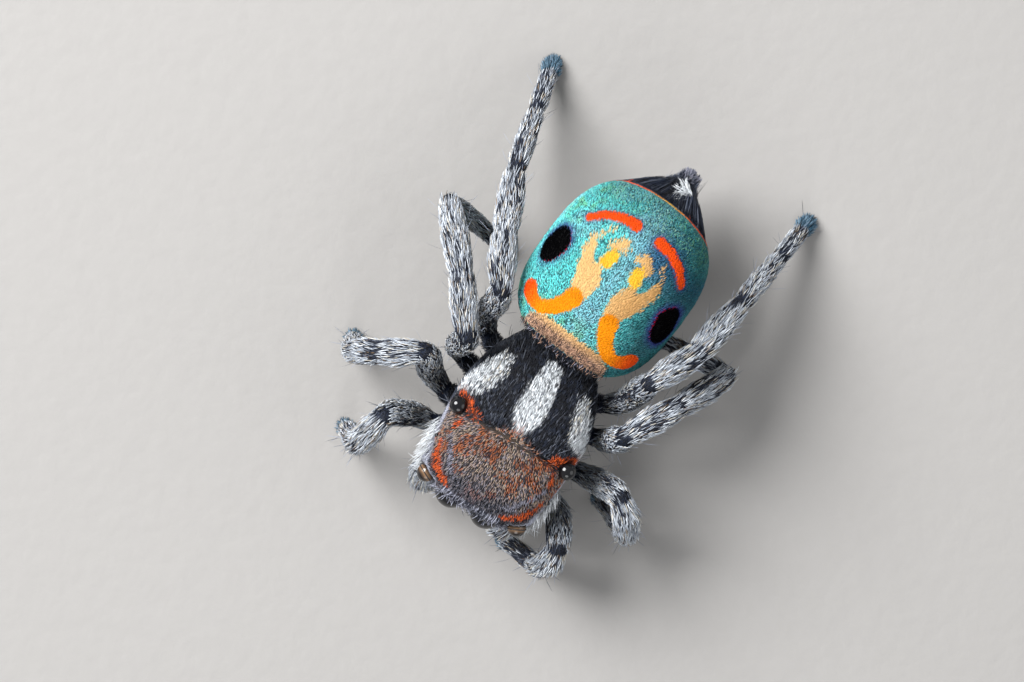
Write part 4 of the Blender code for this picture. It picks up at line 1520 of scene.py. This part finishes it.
def limb_hair(name, number, skin, hair, coat, colours):
    """Flat hairs, pale or dark, slimmer towards the tip and short on the bare joints."""
    limb = LIMBS[name]
    roots = skin.scatter(coat.leg_step / MM, LIMB_HAIR_SEED + number, skin.limb == number)
    ways, marks, around, patch = limb_values(roots, limb)
    leg_marks = marks * 5 / limb.lengths
    tint, pale, bare = leg_look(number, leg_marks, around, roots.places, colours, roots.chance)
    ways = ways + roots.jitter(0.22)
    slim = 1 - 0.25 * np.clip(marks / limb.lengths - 0.6, 0, 1) / 0.4
    size = coat.leg_length / MM * roots.spread(0.7, 1.2) * slim * np.where(pale, 1.0, 0.75)
    size = np.where(bare, 0.4 * size, size)
    lift = np.radians(np.where(pale, roots.spread(9, 17), roots.spread(4, 9)))
    wide = coat.leg_width / MM * roots.spread(0.75, 1.2) * slim
    shape = (size, wide, 0.008, lift, 0.10, roots.spread(-0.2, 0.2))
    grow(f"{name}_hair", hair, "legs", roots, ways, shape, tint, patch)


def limb_long_hair(name, number, skin, hair, coat, colours):
    roots = skin.scatter(0.22, LONG_HAIR_SEED + number, skin.limb == number)
    ways, _, _, patch = limb_values(roots, LIMBS[name])
    tint = shaded(colours.grey, roots, 0.5, 2.2)
    ways = ways + roots.jitter(0.4)
    size = coat.bristle_length / MM * roots.spread(0.35, 0.9) ** 1.3
    shape = (size, 0.006, 0.004, np.radians(roots.spread(28, 62)), 0.12, roots.spread(-0.1, 0.1))
    grow(f"{name}_long_hair", hair, "legs", roots, ways, shape, tint, patch)


def claw_tuft(name, number, skin, hair, coat, colours):
    limb = LIMBS[name]
    at_tip = limb.marks[limb.nearest(skin.places)[0]] > PAD_START
    roots = skin.scatter(0.015, CLAW_TUFT_SEED + number, (skin.limb == number) & at_tip)
    ways, _, _, patch = limb_values(roots, limb)
    tint = lay(alike(colours.pad, roots), colours.pad_tip, (roots.chance > 0.55) * 0.8)
    ways = ways + roots.jitter(0.35)
    length = coat.pad_length / MM * roots.spread(0.75, 1.1)
    shape = (length, 0.0095, 0.006, np.radians(roots.spread(18, 52)), 0.05, 0.0)
    grow(f"{name}_claw_tuft", hair, "legs", roots, ways, shape, tint, patch)


class SPIDER_OT_leg_coats(bpy.types.Operator):
    """Flat pale and dark hairs along each leg and palp, claw tufts, and single long hairs"""

    bl_idname = "spider.leg_coats"
    bl_label = "Leg coats"

    def execute(self, context):
        skin = need_skin()
        _, coat, colours = settings()
        hair = hair_material("leg hair", 0.5)
        for number, name in enumerate(LIMBS):
            limb_hair(name, number, skin, hair, coat, colours)
            limb_long_hair(name, number, skin, hair, coat, colours)
            if name in LEGS:
                claw_tuft(name, number, skin, hair, coat, colours)
        return {"FINISHED"}


def set_in(bm, name, place, axis):
    """A smooth mesh of what was built round Z, turned to its axis and moved to its place."""
    turn = Vector((0, 0, 1)).rotation_difference(Vector(axis)).to_matrix().to_4x4()
    bmesh.ops.transform(bm, matrix=Matrix.Translation(Vector(place)) @ turn, verts=bm.verts)
    bmesh.ops.scale(bm, vec=(MM, MM, MM), verts=bm.verts)
    mesh = bpy.data.meshes.new(name)
    bm.to_mesh(mesh)
    bm.free()
    mesh.shade_smooth()
    return mesh


def eye_lens(name, place, radius, axis, amber):
    """A ball drawn out a little along the way it looks."""
    bm = bmesh.new()
    bmesh.ops.create_uvsphere(bm, u_segments=48, v_segments=32, radius=radius)
    for vert in bm.verts:
        if vert.co.z > 0:
            vert.co.z *= 1.06
    mesh = set_in(bm, name, place, axis)
    away = unit(read(mesh.vertices, "co") / MM - place) @ np.array(axis)
    add_number(mesh, "edge", amber * np.clip(1 - np.abs(away - 0.2) / 0.6, 0, 1))
    return mesh


def eye_rim(name, place, radius, axis):
    """A soft ring round the lens where it leaves the skin."""
    bm = bmesh.new()
    circle = bmesh.ops.create_circle(bm, segments=10, radius=0.065 * radius, cap_ends=False)
    turned = Matrix.Translation((radius, 0, 0.20 * radius)) @ Matrix.Rotation(math.pi / 2, 4, "X")
    bmesh.ops.transform(bm, matrix=turned, verts=circle["verts"])
    once_round = {"cent": (0, 0, 0), "axis": (0, 0, 1), "angle": 2 * math.pi, "steps": 48}
    bmesh.ops.spin(bm, geom=bm.verts[:] + bm.edges[:], use_merge=True, **once_round)
    bmesh.ops.recalc_face_normals(bm, faces=bm.faces)
    return set_in(bm, name, place, axis)


class SPIDER_OT_eyes(bpy.types.Operator):
    """Glossy eyes with a dark rim round each, and the two bead eyes"""

    bl_idname = "spider.eyes"
    bl_label = "Eyes"

    def execute(self, context):
        colours = settings()[2]
        gloss = eye_material(colours)
        dark = horn_material("eye rim", colours.black, 0.35)
        for name in EYES:
            place, radius, axis = middle(name), eye_radius(name), eye_axis(name)
            wide = radius * (1.10 if "posterior" in name else 1.0)
            amber = 1.0 if name.startswith("eye_anterior_lateral") else 0.08
            lens = eye_lens(f"{name}_lens", place, wide, axis, amber)
            new_piece(f"{name}_lens", lens, gloss, "eyes", name)
            new_piece(f"{name}_rim", eye_rim(f"{name}_rim", place, radius, axis), dark, "carapace")
        for side, word in ((1, "left"), (-1, "right")):
            place = HEAD_FRAME.world(0.785 * side, 0.55, 1.72)
            axis = unit(HEAD_FRAME.way(1.0 * side, 0.0, 0.5))
            new_piece(f"bead_eye_{word}", eye_lens("bead_lens", place, 0.030, axis, 0.2), gloss, "eyes")
        return {"FINISHED"}


def jaw_bristles(name, roots, hair, colours):
    tint = np.clip(shaded(colours.grey, roots, 0.4, 2.2), 0, 1)
    ways = alike((0.0, -0.1, -1.0), roots) + roots.jitter(0.3)
    shape = (roots.spread(0.05, 0.11), 0.008, 0.005, np.radians(roots.spread(12, 35)), 0.1, 0.0)
    patch = ball_patch(roots.places, middle(name), JAW_HALF)
    grow(f"{name}_bristles", hair, "jaws", roots, ways, shape, tint, patch)


class SPIDER_OT_jaws(bpy.types.Operator):
    """Jaws with their fangs, smooth horn with a few bristles"""

    bl_idname = "spider.jaws"
    bl_label = "Jaws"

    def execute(self, context):
        colours = settings()[2]
        horn = horn_material("jaw horn", colours.horn)
        hair = hair_material("jaw bristles", 0.5)
        for number, side in enumerate(SIDES):
            name = f"chelicera_{side}"
            root = HEAD_FRAME.world(0.205 if side == "left" else -0.205, 0.14, 0.93)
            places, outs, faces = remeshed("rough jaw", [solid(name), bead(root, 0.14)], 0.012, 5)
            new_piece(f"{name}_horn", mesh_from(f"{name}_horn", places, faces), horn, "jaws", name)
            roots = scatter(places, outs, faces, 0.035, JAW_SEED + number, places[:, 2] > 0.52)
            jaw_bristles(name, roots, hair, colours)
        return {"FINISHED"}


class SPIDER_OT_claws(bpy.types.Operator):
    """Two small hooked claws at the end of each leg"""

    bl_idname = "spider.claws"
    bl_label = "Claws"

    def execute(self, context):
        colours = settings()[2]
        horn = horn_material("claw horn", colours.horn, 0.2)
        shape = (0.16, 0.026, 0.024, math.radians(35), 0.9, np.array((-0.15, 0.15)))
        patch = np.array(((0.25, 0.5), (0.75, 0.5)))
        for number, name in enumerate(LEGS):
            limb = LIMBS[name]
            here = np.searchsorted(limb.marks, CLAW_MARK)
            ends = np.array([limb.places[here] + side * 0.03 * limb.sides[here] for side in (-1, 1)])
            roots = Roots(ends, alike(limb.rises[here], ends), np.random.default_rng(CLAW_SEED + number))
            ways, tint = alike(limb.ways[here], ends), alike(colours.horn, ends)
            grow(f"{name}_claws", horn, "legs", roots, ways, shape, tint, patch, **CLAW_RINGS)
        return {"FINISHED"}


def add_floor(stage):
    bm = bmesh.new()
    bmesh.ops.create_circle(bm, segments=128, radius=stage.floor_size, cap_ends=True)
    mesh = bpy.data.meshes.new("floor")
    bm.to_mesh(mesh)
    bm.free()
    mesh.materials.append(floor_material(stage.floor))
    floor = bpy.data.objects.new("floor", mesh)
    bpy.context.scene.collection.objects.link(floor)
    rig.stage(floor)


def camera_axes():
    """The camera's way back from what it sees, and its right and up."""
    flat = math.cos(CAMERA_RISE)
    back = np.array((math.sin(CAMERA_TURN) * flat, -math.cos(CAMERA_TURN) * flat, math.sin(CAMERA_RISE)))
    level_up = unit(UP - UP @ back * back)
    level_right = np.cross(level_up, back)
    up = math.cos(CAMERA_ROLL) * level_up + math.sin(CAMERA_ROLL) * level_right
    return back, np.cross(up, back), up


def add_light(name, power, size, way, away):
    data = bpy.data.lights.new(name, "AREA")
    data.shape = "DISK"
    data.size = size * MM
    data.energy = power
    lamp = bpy.data.objects.new(name, data)
    way = unit(way)
    lamp.rotation_euler = Vector(way).to_track_quat("Z", "Y").to_euler()
    lamp.location = Vector((CAMERA_TARGET + away * way) * MM)
    bpy.context.scene.collection.objects.link(lamp)


def add_sky(strength):
    world = bpy.data.worlds.new("soft studio")
    world.use_nodes = True
    sky = world.node_tree.nodes["Background"]
    sky.inputs["Color"].default_value = (0.93, 0.96, 1.0, 1)
    sky.inputs["Strength"].default_value = strength
    bpy.context.scene.world = world


def add_camera(back, right, up):
    data = bpy.data.cameras.new("camera")
    data.sensor_width = SENSOR
    data.lens = SENSOR * CAMERA_AWAY / FIELD_WIDTH
    data.clip_start = 0.002
    data.clip_end = 2.0
    camera = bpy.data.objects.new("camera", data)
    turn = Matrix(np.column_stack([right, up, back]).tolist()).to_4x4()
    camera.matrix_world = Matrix.Translation(Vector((CAMERA_TARGET + CAMERA_AWAY * back) * MM)) @ turn
    bpy.context.scene.collection.objects.link(camera)
    bpy.context.scene.camera = camera


class SPIDER_OT_stage(bpy.types.Operator):
    """Plain pale floor, soft lights and the camera"""

    bl_idname = "spider.stage"
    bl_label = "Stage"

    def execute(self, context):
        stage = context.scene.spider_stage
        add_floor(stage)
        back, right, up = camera_axes()
        add_light("key light", stage.key_power, 60, -0.75 * right + 0.55 * up + 1.0 * back, 85)
        add_light("fill light", stage.fill_power, 90, 1.0 * right - 0.3 * up + 0.6 * back, 110)
        add_light("rim light", stage.fill_power, 60, -0.1 * right - 1.0 * up + 0.45 * back, 100)
        add_sky(stage.sky_strength)
        context.scene.view_settings.view_transform = "Standard"
        add_camera(back, right, up)
        return {"FINISHED"}


class SPIDER_PT_panel(bpy.types.Panel):
    """Sidebar list of the spider's pieces"""

    bl_idname = "SPIDER_PT_panel"
    bl_label = "Peacock spider"
    bl_space_type = "VIEW_3D"
    bl_region_type = "UI"
    bl_category = "Spider"

    def draw(self, context):
        layout = self.layout
        for operator in OPERATORS:
            layout.operator(operator.bl_idname)
        for group in PROPERTIES:
            box = layout.box()
            held = getattr(context.scene, group)
            for name in held.bl_rna.properties.keys():
                if name not in ("rna_type", "name"):
                    box.prop(held, name)


OPERATORS = (
    SPIDER_OT_stage,
    SPIDER_OT_skin,
    SPIDER_OT_abdomen_coat,
    SPIDER_OT_head_coat,
    SPIDER_OT_face_hair,
    SPIDER_OT_leg_coats,
    SPIDER_OT_eyes,
    SPIDER_OT_jaws,
    SPIDER_OT_claws,
)
PROPERTIES = {
    "spider_skin": SpiderSkin,
    "spider_coat": SpiderCoat,
    "spider_colours": SpiderColours,
    "spider_stage": SpiderStage,
}


def register():
    for cls in (*PROPERTIES.values(), *OPERATORS, SPIDER_PT_panel):
        bpy.utils.register_class(cls)
    for name, group in PROPERTIES.items():
        setattr(bpy.types.Scene, name, PointerProperty(type=group))


def unregister():
    for name in PROPERTIES:
        delattr(bpy.types.Scene, name)
    for cls in (SPIDER_PT_panel, *reversed(OPERATORS), *reversed(PROPERTIES.values())):
        bpy.utils.unregister_class(cls)


def main():
    register()
    for operator in OPERATORS:
        group, name = operator.bl_idname.split(".")
        getattr(getattr(bpy.ops, group), name)()
    boxes = {"cad": CAD_BOX, "visual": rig.bounds()}
    plain = {key: [list(corner) for corner in corners] for key, corners in boxes.items()}
    with open("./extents.json", "w") as file:
        json.dump(plain, file)


if __name__ == "__main__":
    main()
